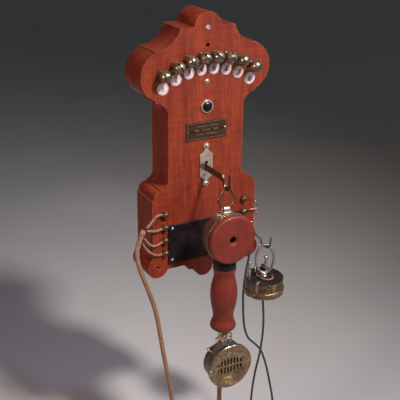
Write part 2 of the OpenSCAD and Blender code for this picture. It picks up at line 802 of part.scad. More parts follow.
module ear_cap() {
    color("brown") at([0, can_z]) turned_y() difference() {
        union() {
            translate([0, ear_face + 3]) square([ear_cap_r, cap_t - 3.2]);
            translate([0, ear_face]) square([ear_cap_r - 3, 5]);
            translate([ear_cap_r - 3, ear_face + 3]) circle(r = 3);
            translate([0, ear_face + 4]) square([can_r - can_wall - fit, diaphragm_y - ear_face - 4]);
        }
        translate([0, ear_face - 1]) square([ear_bore_r, 30]);
        translate([0, ear_face + 5]) square([can_r - 4, 30]);
        polygon([[0, ear_face - 1], [ear_bore_r + 3.4, ear_face - 1], [ear_bore_r + 3, ear_face],
            [ear_bore_r, ear_face + 1.6], [0, ear_face + 1.6]]);
    }
}

module ear_diaphragm() {
    color("dimgray") at([0, can_z]) bar_y(can_r - can_wall - 0.3, diaphragm_y, diaphragm_y + 0.6);
}

module ear_magnet() {
    color("gray") translate([-18, can_back - 5, can_z - 5]) cube([36, 3, 10]);
}

module ear_coils() {
    color("darkgreen") for (s = [-1, 1]) at([s * 8, can_z]) bar_y(5, diaphragm_y + 2, can_back - 5);
}

module neck_collar() {
    color("black") difference() {
        translate([0, hang_y, 0]) union() {
            translate([0, 0, handle_top]) cylinder(r = collar_r, h = collar_top - handle_top);
            translate([0, 0, collar_top - 1]) cylinder(r = 5.5, h = 12);
        }
        at([0, can_z]) bar_y(can_r + eps, hang_y - 30, hang_y + 30);
        translate([0, hang_y, handle_top - 1]) cylinder(r = rod_r, h = 7);
    }
}

// Radius of the turned handle at a share s of its length, from the top
function handle_at(s) = lookup(s, [[0, 0.83], [0.02, 0.85], [0.05, 0.8], [0.09, 0.765], [0.14, 0.775],
    [0.2, 0.84], [0.27, 0.92], [0.34, 0.975], [0.42, 1], [0.5, 0.985], [0.58, 0.93], [0.66, 0.845],
    [0.73, 0.775], [0.785, 0.755], [0.83, 0.79], [0.87, 0.87], [0.905, 0.94], [0.935, 0.965],
    [0.96, 0.94], [0.98, 0.86], [1, 0.7]]);

module handle() {
    shares = [0, 0.02, 0.05, 0.09, 0.14, 0.2, 0.27, 0.34, 0.42, 0.5, 0.58, 0.66, 0.73, 0.785, 0.83, 0.87,
        0.905, 0.935, 0.96, 0.98, 1];
    color("brown") translate([0, hang_y, 0]) difference() {
        rotate_extrude() polygon(concat([[0, handle_top]],
            [for (s = shares) [handle_r * handle_at(s), handle_top - handle_len * s]],
            [[0, handle_bottom]]));
        translate([0, 0, handle_bottom - 1]) cylinder(r = rod_r, h = handle_len + 2);
    }
}

module handle_rod() {
    color("silver") translate([0, hang_y, handle_bottom - 5]) cylinder(r = rod_r, h = handle_len + 11);
}

// ---- Microphone ----

module mic_bracket() {
    color("silver") difference() {
        union() {
            translate([-4, hang_y - 5, mic_z + mic_r + 0.3])
                cube([8, 10, handle_bottom - mic_z - mic_r - 0.3]);
            translate([-4, mic_back, mic_z + mic_r - 14]) cube([8, 5, 15]);
        }
        translate([0, hang_y, handle_bottom - 5]) cylinder(r = rod_r, h = 10);
    }
}

module rim_places() {
    for (turn = [0:90:270]) at([0, mic_z]) rotate([0, turn, 0]) translate([rim_screw_r, 0, 0]) children();
}

module mic_can() {
    color("dimgray") difference() {
        at([0, mic_z]) turned_y() difference() {
            union() {
                translate([0, mic_front]) square([mic_r, mic_d]);
                translate([0, mic_front]) square([grille_r, mic_flange_t]);
            }
            translate([0, mic_front - 1]) square([mic_r - 2, mic_d - 1]);
        }
        rim_places() bar_y(1, mic_front - 1, mic_front + mic_flange_t + 1);
    }
}

slot_pitch = 4.7;
slot_w = 2.4;
slot_field = [20.5, 11];  // half the length and half the height of the slotted oval
module grille_slots() {
    for (i = [-3.5:3.5]) {
        x = i * slot_pitch;
        tall = slot_field[1] * sqrt(1 - pow(x / slot_field[0], 2));
        for (s = [-1, 1]) translate([x - slot_w / 2, grille_y - 5, mic_z + (s > 0 ? 1.4 : -tall)])
            cube([slot_w, 15, tall - 1.4]);
    }
}

module mic_grille() {
    color("darkkhaki") difference() {
        at([0, mic_z]) turned_y() polygon([[0, grille_y + 3], [15.5, grille_y + 3],
            [22.5, grille_y + 0.6], [24.5, grille_y], [grille_r - 0.5, grille_y],
            [grille_r, grille_y + 0.5], [grille_r, mic_front], [24, mic_front],
            [16.5, mic_front + 2.4], [0, mic_front + 2.4]]);
        grille_slots();
        rim_places() bar_y(1, grille_y - 1, mic_front + 1);
    }
}

module mic_screws() {
    color("darkkhaki") rim_places() slotted_screw(2.1, 1.2, 1, 2 + mic_flange_t - 0.2, grille_y, 40);
}

module mic_capsule() {
    color("gray") at([0, mic_z]) {
        bar_y(mic_r - 2.1, mic_front + 4, mic_front + 4.6);
        bar_y(18, mic_front + 6, mic_back - 2);
        bar_y(6, mic_front + 4.5, mic_front + 6.1);
    }
}

mic_post_a = 138;
module mic_posts() {
    color("silver") {
        translate([0, mic_back - 4, mic_z]) difference() {
            rotate([0, -mic_post_a, 0]) {
                bar_x(1.5, mic_r - 1, mic_r + 4);
                translate([mic_r + 4, 0, 0]) sphere(r = 1.9);
            }
            bar_y(mic_r + eps, -10, 10);
        }
        translate([0, mic_back - 4, mic_z]) difference() {
            rotate([0, -70, 0]) {
                bar_x(1.5, mic_r - 1, mic_r + 3);
                translate([mic_r + 3, 0, 0]) sphere(r = 1.9);
            }
            bar_y(mic_r + eps, -10, 10);
        }
    }
}

module mic_wires() {
    y = mic_back - 4;
    a = [(mic_r + 6.9) * cos(mic_post_a), y, mic_z + (mic_r + 6.9) * sin(mic_post_a)];
    b = [(mic_r + 5.5) * cos(70), y, mic_z + (mic_r + 5.5) * sin(70)];
    color("peru") {
        tube([a, [-11.5, y, mic_z + 28], [-8, y - 4, mic_z + 34], [0, y - 4, mic_z + 38],
            [5, y - 4, mic_z + 36], [8, y - 3, mic_z + 34]], 0.9, 6);
        tube([b, [10, y - 1, mic_z + 38], [6, y - 5, mic_z + 41.5], [-4, y - 5, mic_z + 41.5],
            [-10.5, y - 2, mic_z + 39], [-12.5, y, mic_z + 33.5]], 0.9, 6);
    }
}

module cord_ferrule() {
    color("dimgray") difference() {
        translate([0, mic_back + cord_r + 1, mic_z - 25]) cylinder(r = cord_r + 1.2, h = 14);
        at([0, mic_z]) bar_y(mic_r + 5, mic_back - 10, mic_back + eps);
        translate([0, mic_back + cord_r + 1, mic_z - 26]) cylinder(r = cord_r, h = 4);
    }
}

// ---- Second receiver ----

module second_place() {
    translate([hang2_x, hang2_y, 0]) children();
}

module second_can() {
    color("darkkhaki") second_place() translate([0, 0, second_top - second_h]) difference() {
        union() {
            cylinder(r = second_r, h = second_h - 1);
            cylinder(r = second_r + 1.6, h = 3.5);
        }
        translate([0, 0, -1]) cylinder(r = second_r - 1.4, h = second_h + 1);
    }
}

module second_back() {
    color("black") second_place() translate([0, 0, second_top - 1]) {
        cylinder(r = second_r, h = 1);
        translate([0, 0, -3]) cylinder(r = second_r - 1.5, h = 3 + eps);
    }
}

module second_cap() {
    color("black") second_place() translate([0, 0, second_top - second_h]) difference() {
        union() {
            translate([0, 0, -5]) cylinder(r = second_r + 0.8, h = 5);
            cylinder(r = second_r - 1.5, h = 4);
        }
        translate([0, 0, -6]) cylinder(r = 5, h = 20);
        translate([0, 0, -1.5]) cylinder(r = second_r - 3, h = 20);
        translate([0, 0, -5.5]) cylinder(r1 = 10, r2 = 5, h = 2.5);
    }
}

module second_magnet() {
    straight = magnet_drop - 2 * magnet_hw;
    color("silver") second_place() rotate([0, 0, magnet_turn]) {
        for (s = [-1, 1]) translate([s * magnet_hw, 0, magnet_top - magnet_hw - straight])
            cylinder(r = magnet_wire_r, h = straight);
        for (up = [1, -1]) translate([0, 0, magnet_top - magnet_hw - (up > 0 ? 0 : straight)])
            rotate([90, 0, 0]) rotate_extrude(angle = up * 180)
                translate([magnet_hw, 0]) circle(r = magnet_wire_r);
        translate([-4, -4, second_top]) difference() {
            cube([8, 8, magnet_top - magnet_drop - second_top + 1.2]);
            translate([4, 4, magnet_top - magnet_hw - straight - second_top]) rotate([90, 0, 0])
                rotate_extrude(angle = -180) translate([magnet_hw, 0]) circle(r = magnet_wire_r);
        }
    }
}

module second_post(h, ball) {
    cylinder(r = 2.6, h = h * 0.45);
    cylinder(r = 1.6, h = h);
    translate([0, 0, h * 0.7]) cylinder(r = 2.3, h = 2);
    translate([0, 0, h]) sphere(r = ball);
}

module second_posts() {
    color("silver") second_place() {
        translate([12, 15, second_top]) second_post(18.5, 2.8);
        translate([-20.7, 5.6, second_top]) second_post(22, 2.4);
    }
}

// ---- Cords ----

module cord_tails() {
    color("burlywood") for (p = tail_routes) tube(p, tail_r);
}

module cord_tie() {
    color("burlywood") translate((handset_route[0] + handset_route[1]) / 2) rotate([0, 24, 0]) difference() {
        translate([0, 0, -1.5]) cylinder(r = cord_r + 1.5, h = 3);
        translate([0, 0, -3]) cylinder(r = cord_r + 0.1, h = 6);
    }
}

module handset_cord() {
    color("burlywood") tube(handset_route, cord_r);
}

module receiver_cord() {
    color("dimgray") tube(receiver_route, thin_cord_r);
}

case_shell();
back_board();
back_board_screws();
case_screws();
post_collars();
post_balls();
post_nuts();
post_labels();
name_plate();
name_plate_pins();
button_bezel();
button_base();
button_contacts();
call_button();
button_spring();
switch_plate();
switch_plate_screws();
switch_bracket();
lever_pin();
hook_lever();
switch_springs();
spring_insulators();
terminal_plate();
terminal_plate_screws();
side_collars();
side_screws();
side_hook();
line_wires();
coil_bobbin();
coil_winding();
coil_core();
coil_bracket();
hanging_ring();
ring_lug();
receiver_can();
receiver_band();
ear_cap();
ear_diaphragm();
ear_magnet();
ear_coils();
neck_collar();
handle();
handle_rod();
mic_bracket();
mic_can();
mic_grille();
mic_screws();
mic_capsule();
mic_posts();
mic_wires();
cord_ferrule();
second_can();
second_back();
second_cap();
second_magnet();
second_posts();
cord_tails();
cord_tie();
handset_cord();
receiver_cord();
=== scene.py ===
"""Looks of an antique wooden wall telephone, laid over its solid model.

The solid model gives every place and size. This script hangs the two cords, bends
the wires and hooks smoothly, adds the small printed and twisted pieces, and gives
every piece its finish, its light and its camera.
"""

from __future__ import annotations

import logging
import math
from dataclasses import dataclass
from enum import Enum
from typing import Iterable, Sequence, Union

import bmesh
import bpy
from mathutils import Matrix, Vector


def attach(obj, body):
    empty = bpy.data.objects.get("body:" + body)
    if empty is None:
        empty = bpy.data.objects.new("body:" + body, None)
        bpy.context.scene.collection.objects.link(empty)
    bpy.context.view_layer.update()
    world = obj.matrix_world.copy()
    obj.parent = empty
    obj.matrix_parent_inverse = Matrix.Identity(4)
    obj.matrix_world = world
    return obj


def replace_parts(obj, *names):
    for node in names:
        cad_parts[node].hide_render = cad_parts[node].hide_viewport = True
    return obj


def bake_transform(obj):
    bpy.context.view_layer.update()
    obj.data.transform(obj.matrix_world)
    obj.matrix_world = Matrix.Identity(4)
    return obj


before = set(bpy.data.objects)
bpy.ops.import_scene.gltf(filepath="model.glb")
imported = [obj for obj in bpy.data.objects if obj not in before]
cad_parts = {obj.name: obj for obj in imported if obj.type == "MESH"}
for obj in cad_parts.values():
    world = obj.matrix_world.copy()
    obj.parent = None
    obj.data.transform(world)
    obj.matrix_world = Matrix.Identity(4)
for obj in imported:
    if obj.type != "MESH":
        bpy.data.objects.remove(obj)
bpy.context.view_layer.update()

LOG = logging.getLogger("wall_telephone")
MM = 0.001
Colour = tuple[float, float, float]
Point = tuple[float, float, float]
Value = Union[bpy.types.NodeSocket, float, tuple]


class Body(Enum):
    """The moving bodies that a piece can ride on."""

    CASE = "case"
    HANDSET = "handset"
    RING = "hanging_ring"
    SECOND = "second_receiver"


class Surface(Enum):
    """Ways in which a piece's edges are eased."""

    SHARP = 0.0
    STAMPED = 0.25
    TURNED = 0.5
    PLANED = 1.1


# ---------------------------------------------------------------- shader graphs


class Graph:
    """Adds shader nodes to one node tree and joins them."""

    def __init__(self, tree: bpy.types.NodeTree) -> None:
        """Keeps the tree that nodes are added to."""
        self.tree = tree

    def feed(self, socket: bpy.types.NodeSocket, value: Value) -> None:
        """Links a socket, or sets a plain value, into another socket.

        Args:
            socket: the input to feed.
            value: an output socket, a number, a colour or a vector.
        """
        if isinstance(value, bpy.types.NodeSocket):
            self.tree.links.new(value, socket)
        elif isinstance(value, tuple) and socket.type == "RGBA":
            socket.default_value = (*value[:3], 1.0)
        else:
            socket.default_value = value

    def node(
        self, kind: str, inputs: dict[str | int, Value] | None = None, **settings: object
    ) -> bpy.types.Node:
        """Adds one node.

        Args:
            kind: the node's type, without its ShaderNode prefix.
            inputs: values or sockets by input name or number.
            settings: the node's own properties.

        Returns:
            The new node.
        """
        made = self.tree.nodes.new("ShaderNode" + kind)
        for key, value in settings.items():
            setattr(made, key, value)
        for key, value in (inputs or {}).items():
            self.feed(made.inputs[key], value)
        return made

    def math(
        self, operation: str, a: Value, b: Value = 0.0, clamp: bool = False
    ) -> bpy.types.NodeSocket:
        """Joins two values by one operation.

        Args:
            operation: the Math node's operation.
            a: the first value.
            b: the second value.
            clamp: whether the result is kept within 0 and 1.

        Returns:
            The result's socket.
        """
        made = self.node("Math", {0: a, 1: b}, operation=operation, use_clamp=clamp)
        return made.outputs[0]

    def span(
        self, value: Value, low: float, high: float, out_low: float = 0.0, out_high: float = 1.0
    ) -> bpy.types.NodeSocket:
        """Maps a value from one span to another, smoothly and clamped.

        Args:
            value: the value to map.
            low: the value that gives out_low.
            high: the value that gives out_high.
            out_low: the result at low.
            out_high: the result at high.

        Returns:
            The result's socket.
        """
        made = self.node(
            "MapRange",
            {0: value, 1: low, 2: high, 3: out_low, 4: out_high},
            interpolation_type="SMOOTHSTEP",
        )
        return made.outputs[0]

    def mix(self, factor: Value, a: Value, b: Value, blend: str = "MIX") -> bpy.types.NodeSocket:
        """Mixes two colours.

        Args:
            factor: how much of b shows.
            a: the colour at 0.
            b: the colour at 1.
            blend: the Mix node's blend type.

        Returns:
            The mixed colour's socket.
        """
        made = self.node("Mix", data_type="RGBA", blend_type=blend)
        self.feed(made.inputs[0], factor)
        self.feed(made.inputs[6], a)
        self.feed(made.inputs[7], b)
        return made.outputs[2]

    def places(self, stretch: Point = (1.0, 1.0, 1.0)) -> bpy.types.NodeSocket:
        """Gives the piece's own coordinates.

        Args:
            stretch: factors that the coordinates are multiplied by.

        Returns:
            The coordinates' socket.
        """
        coordinates = self.node("TexCoord").outputs["Object"]
        made = self.node("Mapping", {"Vector": coordinates, "Scale": stretch})
        return made.outputs[0]

    def noise(
        self, vector: Value, scale: Value, detail: float = 3.0, rough: float = 0.55
    ) -> bpy.types.NodeSocket:
        """Adds a noise texture.

        Args:
            vector: the coordinates.
            scale: features for each metre.
            detail: the number of finer layers.
            rough: the strength of the finer layers.

        Returns:
            The noise value's socket.
        """
        inputs = {"Vector": vector, "Scale": scale, "Detail": detail, "Roughness": rough}
        return self.node("TexNoise", inputs).outputs[0]

    def effect(self, group: bpy.types.NodeTree, **inputs: Value) -> bpy.types.Node:
        """Places a shared effect.

        Args:
            group: the effect's node group.
            inputs: values for its named inputs.

        Returns:
            The group node.
        """
        made = self.tree.nodes.new("ShaderNodeGroup")
        made.node_tree = group
        for key, value in inputs.items():
            self.feed(made.inputs[key], value)
        return made

    def bump(self, height: Value, strength: float, distance: float) -> bpy.types.NodeSocket:
        """Turns a height into a normal.

        Args:
            height: the height's socket.
            strength: how strongly it shows.
            distance: the height's scale in metres.

        Returns:
            The normal's socket.
        """
        inputs = {"Height": height, "Strength": strength, "Distance": distance}
        return self.node("Bump", inputs).outputs[0]


class Effects:
    """The shader node groups that several finishes share, each built once."""

    def __init__(self) -> None:
        """Builds every shared effect."""
        self.edge_wear = self._edge_wear()
        self.wood_grain = self._wood_grain()
        self.tarnish = self._tarnish()
        self.braid = self._braid()
        self.dust = self._dust()

    @staticmethod
    def _group(
        name: str, inputs: dict[str, float], outputs: Sequence[str]
    ) -> tuple[Graph, bpy.types.Node, bpy.types.Node]:
        """Starts a node group with number sockets.

        Args:
            name: the group's name.
            inputs: default values by input name.
            outputs: the output names.

        Returns:
            The graph to build in, its input node and its output node.
        """
        tree = bpy.data.node_groups.new(name, "ShaderNodeTree")
        for key, value in inputs.items():
            socket = tree.interface.new_socket(key, in_out="INPUT", socket_type="NodeSocketFloat")
            socket.default_value = value
        for key in outputs:
            tree.interface.new_socket(key, in_out="OUTPUT", socket_type="NodeSocketFloat")
        return Graph(tree), tree.nodes.new("NodeGroupInput"), tree.nodes.new("NodeGroupOutput")

    def _edge_wear(self) -> bpy.types.NodeTree:
        """Makes the mask of rubbed edges.

        Returns:
            The effect's group.
        """
        graph, start, end = self._group("edge_wear", {"Radius": 0.001, "Amount": 1.0}, ["Mask"])
        eased = graph.node("Bevel", {"Radius": start.outputs["Radius"]}, samples=4)
        flat = graph.node("NewGeometry").outputs["Normal"]
        facing = graph.node("VectorMath", {0: eased.outputs[0], 1: flat}, operation="DOT_PRODUCT")
        bend = graph.span(graph.math("SUBTRACT", 1.0, facing.outputs["Value"]), 0.01, 0.16)
        rubbed = graph.span(graph.noise(graph.places(), 160.0, 4.0, 0.65), 0.36, 0.62)
        mask = graph.math("MULTIPLY", graph.math("MULTIPLY", bend, rubbed), start.outputs["Amount"], True)
        graph.feed(end.inputs["Mask"], mask)
        return graph.tree

    def _wood_grain(self) -> bpy.types.NodeTree:
        """Makes upright wood grain with a figure across it.

        Returns:
            The effect's group.
        """
        graph, start, end = self._group(
            "wood_grain", {"Fineness": 1.0}, ["Grain", "Pores", "Figure", "Height"]
        )
        fine_scale = graph.math("MULTIPLY", start.outputs["Fineness"], 520.0)
        sway = graph.noise(graph.places((1.0, 1.0, 0.5)), 9.0, 2.0)
        offset = graph.node("VectorMath", {0: graph.places((1.0, 1.0, 0.045))}, operation="ADD")
        pushed = graph.node("CombineXYZ", {0: graph.math("MULTIPLY", sway, 0.03)})
        graph.feed(offset.inputs[1], pushed.outputs[0])
        along = offset.outputs[0]
        fine = graph.noise(along, fine_scale, 4.0, 0.6)
        broad = graph.noise(along, graph.math("MULTIPLY", start.outputs["Fineness"], 95.0), 3.0)
        grain = graph.math("ADD", graph.math("MULTIPLY", fine, 0.55), graph.math("MULTIPLY", broad, 0.45))
        grain = graph.span(grain, 0.34, 0.66)
        dashes = graph.noise(graph.places((1.0, 1.0, 0.07)), graph.math("MULTIPLY", fine_scale, 2.1), 2.0)
        pores = graph.span(dashes, 0.6, 0.68)
        cloudy = graph.noise(graph.places((1.0, 1.0, 0.3)), 24.0, 4.0, 0.6)
        ripple = graph.noise(graph.places((0.16, 0.16, 1.0)), 260.0, 2.0, 0.5)
        figure = graph.math("ADD", graph.math("MULTIPLY", cloudy, 0.6), graph.math("MULTIPLY", ripple, 0.4))
        figure = graph.span(figure, 0.36, 0.64)
        height = graph.math("SUBTRACT", graph.math("MULTIPLY", grain, 0.35), pores)
        for key, value in (("Grain", grain), ("Pores", pores), ("Figure", figure), ("Height", height)):
            graph.feed(end.inputs[key], value)
        return graph.tree

    def _tarnish(self) -> bpy.types.NodeTree:
        """Makes the blotches, specks and fine scratches of old metal.

        Returns:
            The effect's group.
        """
        graph, start, end = self._group("tarnish", {"Scale": 150.0}, ["Blotch", "Specks", "Scratches"])
        scale = start.outputs["Scale"]
        blotch = graph.span(graph.noise(graph.places(), scale, 5.0, 0.62), 0.36, 0.66)
        spotty = graph.noise(graph.places(), graph.math("MULTIPLY", scale, 7.0), 3.0, 0.7)
        specks = graph.span(spotty, 0.58, 0.7)
        drawn = graph.noise(graph.places((1.0, 1.0, 0.12)), graph.math("MULTIPLY", scale, 14.0), 2.0)
        for key, value in (("Blotch", blotch), ("Specks", specks), ("Scratches", drawn)):
            graph.feed(end.inputs[key], value)
        return graph.tree

    def _braid(self) -> bpy.types.NodeTree:
        """Makes crossing threads round a cord.

        Returns:
            The effect's group.
        """
        graph, start, end = self._group("braid", {"Threads": 8.0, "Pitch": 0.006}, ["Height", "Fleck"])
        uv = graph.node("SeparateXYZ", {0: graph.node("TexCoord").outputs["UV"]})
        around = graph.math("MULTIPLY", uv.outputs[0], start.outputs["Threads"])
        along = graph.math("DIVIDE", uv.outputs[1], start.outputs["Pitch"])
        left, right = graph.math("ADD", around, along), graph.math("SUBTRACT", around, along)
        tops = []
        for way in (left, right):
            share = graph.math("MULTIPLY", graph.math("FRACT", way), math.pi)
            tops.append(graph.math("SINE", share))
        turns = graph.math("ADD", graph.math("FLOOR", left), graph.math("FLOOR", right))
        over = graph.math("FLOORED_MODULO", turns, 2.0)
        under = graph.math("SUBTRACT", 1.0, over)
        height = graph.math(
            "ADD", graph.math("MULTIPLY", tops[0], over), graph.math("MULTIPLY", tops[1], under)
        )
        tracer = graph.math("FLOORED_MODULO", graph.math("FLOOR", left), 4.0)
        fleck = graph.math("MULTIPLY", graph.math("LESS_THAN", tracer, 0.5), over)
        for key, value in (("Height", height), ("Fleck", fleck)):
            graph.feed(end.inputs[key], value)
        return graph.tree

    def _dust(self) -> bpy.types.NodeTree:
        """Makes the mask of dust on upward faces.

        Returns:
            The effect's group.
        """
        graph, start, end = self._group("dust", {"Amount": 0.5}, ["Mask"])
        up = graph.node("SeparateXYZ", {0: graph.node("NewGeometry").outputs["Normal"]}).outputs[2]
        settled = graph.math("MULTIPLY", graph.span(up, 0.25, 0.95), start.outputs["Amount"])
        patchy = graph.span(graph.noise(graph.places(), 70.0, 5.0, 0.7), 0.3, 0.75)
        graph.feed(end.inputs["Mask"], graph.math("MULTIPLY", settled, patchy, True))
        return graph.tree


# ---------------------------------------------------------------- finishes


@dataclass(frozen=True)
class Finish:
    """One finish: a slot of the record and the look that it has."""

    slot: str

    def start(self) -> tuple[bpy.types.Material, Graph, bpy.types.Node]:
        """Starts the material.

        Returns:
            The material, its graph and its shader.
        """
        material = bpy.data.materials.new(self.slot)
        material.use_nodes = True
        graph = Graph(material.node_tree)
        return material, graph, material.node_tree.nodes["Principled BSDF"]

    def make(self, effects: Effects) -> bpy.types.Material:
        """Builds the material from the shared effects."""
        raise NotImplementedError


@dataclass(frozen=True)
class Wood(Finish):
    """Stained and varnished wood with upright grain and pale rubbed edges."""

    light: Colour
    dark: Colour
    worn: Colour
    fineness: float = 1.0
    rough: float = 0.44
    coat: float = 0.06

    def make(self, effects: Effects) -> bpy.types.Material:
        """Builds the wood's material.

        Args:
            effects: the shared effects.

        Returns:
            The material.
        """
        material, graph, shader = self.start()
        grain = graph.effect(effects.wood_grain, Fineness=self.fineness)
        wear = graph.effect(effects.edge_wear, Radius=0.0016, Amount=0.85).outputs["Mask"]
        dust = graph.effect(effects.dust, Amount=0.07).outputs["Mask"]
        colour = graph.mix(grain.outputs["Grain"], self.dark, self.light)
        shaded = tuple(c * 0.66 for c in self.dark)
        colour = graph.mix(graph.math("MULTIPLY", grain.outputs["Figure"], 0.5), colour, shaded)
        pores = graph.math("MULTIPLY", grain.outputs["Pores"], 0.7)
        colour = graph.mix(pores, colour, tuple(c * 0.3 for c in self.dark))
        colour = graph.mix(wear, colour, self.worn)
        colour = graph.mix(dust, colour, (0.42, 0.36, 0.3))
        graph.feed(shader.inputs["Base Color"], colour)
        rough = graph.span(grain.outputs["Figure"], 0.0, 1.0, self.rough - 0.06, self.rough + 0.1)
        graph.feed(shader.inputs["Roughness"], graph.math("ADD", rough, graph.math("MULTIPLY", wear, 0.15)))
        graph.feed(shader.inputs["Normal"], graph.bump(grain.outputs["Height"], 0.35, 0.0002))
        shader.inputs["Specular IOR Level"].default_value = 0.35
        shader.inputs["Coat Weight"].default_value = self.coat
        shader.inputs["Coat Roughness"].default_value = 0.25
        return material


@dataclass(frozen=True)
class Metal(Finish):
    """Old metal, bright where it is handled and tarnished elsewhere."""

    bright: Colour
    tarnished: Colour
    scale: float = 150.0
    rough: float = 0.3
    cover: float = 0.7
    wear: float = 0.8

    def make(self, effects: Effects) -> bpy.types.Material:
        """Builds the metal's material.

        Args:
            effects: the shared effects.

        Returns:
            The material.
        """
        material, graph, shader = self.start()
        age = graph.effect(effects.tarnish, Scale=self.scale)
        wear = graph.effect(effects.edge_wear, Radius=0.0006, Amount=self.wear).outputs["Mask"]
        cover = graph.math("MULTIPLY", age.outputs["Blotch"], self.cover)
        cover = graph.math("MAXIMUM", cover, graph.math("MULTIPLY", age.outputs["Specks"], 0.8))
        cover = graph.math("SUBTRACT", cover, wear, True)
        graph.feed(shader.inputs["Base Color"], graph.mix(cover, self.bright, self.tarnished))
        graph.feed(shader.inputs["Metallic"], graph.span(cover, 0.0, 1.0, 1.0, 0.6))
        graph.feed(shader.inputs["Roughness"], graph.span(cover, 0.0, 1.0, self.rough, self.rough + 0.28))
        pits = graph.math("MULTIPLY", age.outputs["Specks"], -0.6)
        height = graph.math("ADD", age.outputs["Scratches"], pits)
        graph.feed(shader.inputs["Normal"], graph.bump(height, 0.12, 0.0001))
        return material


@dataclass(frozen=True)
class Moulded(Finish):
    """Pressed resin, lacquer or stained fibre, mottled and rubbed at its edges."""

    colour: Colour
    mottle: Colour
    worn: Colour
    rough: float = 0.38
    dust: float = 0.3
    coat: float = 0.0

    def make(self, effects: Effects) -> bpy.types.Material:
        """Builds the material.

        Args:
            effects: the shared effects.

        Returns:
            The material.
        """
        material, graph, shader = self.start()
        age = graph.effect(effects.tarnish, Scale=90.0)
        wear = graph.effect(effects.edge_wear, Radius=0.0009, Amount=0.55).outputs["Mask"]
        dust = graph.effect(effects.dust, Amount=self.dust).outputs["Mask"]
        colour = graph.mix(age.outputs["Blotch"], self.colour, self.mottle)
        specks = graph.math("MULTIPLY", age.outputs["Specks"], 0.35)
        colour = graph.mix(specks, colour, tuple(c * 0.4 for c in self.mottle))
        colour = graph.mix(wear, colour, self.worn)
        colour = graph.mix(dust, colour, (0.4, 0.35, 0.3))
        graph.feed(shader.inputs["Base Color"], colour)
        rough = graph.span(age.outputs["Blotch"], 0.0, 1.0, self.rough - 0.05, self.rough + 0.1)
        graph.feed(shader.inputs["Roughness"], graph.math("ADD", rough, graph.math("MULTIPLY", dust, 0.3)))
        graph.feed(shader.inputs["Normal"], graph.bump(age.outputs["Scratches"], 0.08, 0.0001))
        shader.inputs["Specular IOR Level"].default_value = 0.35
        shader.inputs["Coat Weight"].default_value = self.coat
        return material


@dataclass(frozen=True)
class Card(Finish):
    """Printed card under varnish, yellowed and stained."""

    colour: Colour
    stain: Colour

    def make(self, effects: Effects) -> bpy.types.Material:
        """Builds the card's material.

        Args:
            effects: the shared effects.

        Returns:
            The material.
        """
        material, graph, shader = self.start()
        age = graph.effect(effects.tarnish, Scale=260.0)
        wear = graph.effect(effects.edge_wear, Radius=0.0008, Amount=0.6).outputs["Mask"]
        colour = graph.mix(graph.math("MULTIPLY", age.outputs["Blotch"], 0.75), self.colour, self.stain)
        specks = graph.math("MULTIPLY", age.outputs["Specks"], 0.5)
        colour = graph.mix(specks, colour, tuple(c * 0.5 for c in self.stain))
        graph.feed(shader.inputs["Base Color"], graph.mix(wear, colour, tuple(c * 0.6 for c in self.stain)))
        graph.feed(shader.inputs["Roughness"], graph.span(age.outputs["Blotch"], 0.0, 1.0, 0.32, 0.5))
        graph.feed(shader.inputs["Normal"], graph.bump(age.outputs["Blotch"], 0.1, 0.0001))
        return material


@dataclass(frozen=True)
class Thread(Finish):
    """Braided thread over a cord."""

    colour: Colour
    # the painted shade in the grooves between the threads, and also the colour of soil
    groove_shade_and_soil: Colour
    fleck: Colour
    threads: float = 8.0
    pitch: float = 0.007

    def make(self, effects: Effects) -> bpy.types.Material:
        """Builds the braid's material.

        Args:
            effects: the shared effects.

        Returns:
            The material.
        """
        material, graph, shader = self.start()
        braid = graph.effect(effects.braid, Threads=self.threads, Pitch=self.pitch)
        soil = graph.span(graph.noise(graph.places(), 55.0, 4.0, 0.6), 0.35, 0.7)
        # Painted shade: the braid's low parts between its threads take the darker colour.
        colour = graph.mix(braid.outputs["Height"], self.groove_shade_and_soil, self.colour)
        colour = graph.mix(graph.math("MULTIPLY", braid.outputs["Fleck"], 0.85), colour, self.fleck)
        # Soil darkens the thread towards the same dark colour.
        colour = graph.mix(graph.math("MULTIPLY", soil, 0.4), colour, self.groove_shade_and_soil)
        graph.feed(shader.inputs["Base Color"], colour)
        graph.feed(shader.inputs["Roughness"], graph.span(soil, 0.0, 1.0, 0.7, 0.9))
        graph.feed(shader.inputs["Normal"], graph.bump(braid.outputs["Height"], 0.7, 0.0004))
        shader.inputs["Sheen Weight"].default_value = 0.25
        return material


@dataclass(frozen=True)
class Wound(Finish):
    """Fine covered wire wound in layers on a bobbin."""

    colour: Colour
    # the painted shade in the grooves between the turns of wire
    gap: Colour

    def make(self, effects: Effects) -> bpy.types.Material:
        """Builds the winding's material.

        Args:
            effects: the shared effects.

        Returns:
            The material.
        """
        material, graph, shader = self.start()
        bands = graph.node(
            "TexWave", {"Vector": graph.places(), "Scale": 700.0, "Distortion": 1.5}, bands_direction="X"
        ).outputs[0]
        age = graph.effect(effects.tarnish, Scale=200.0)
        # Painted shade: the bands between the turns take the dark gap colour.
        colour = graph.mix(bands, self.gap, self.colour)
        shaded = tuple(c * 0.5 for c in self.colour)
        soiled = graph.math("MULTIPLY", age.outputs["Blotch"], 0.4)
        graph.feed(shader.inputs["Base Color"], graph.mix(soiled, colour, shaded))
        graph.feed(shader.inputs["Roughness"], graph.span(age.outputs["Blotch"], 0.0, 1.0, 0.5, 0.7))
        graph.feed(shader.inputs["Normal"], graph.bump(bands, 0.6, 0.0003))
        return material


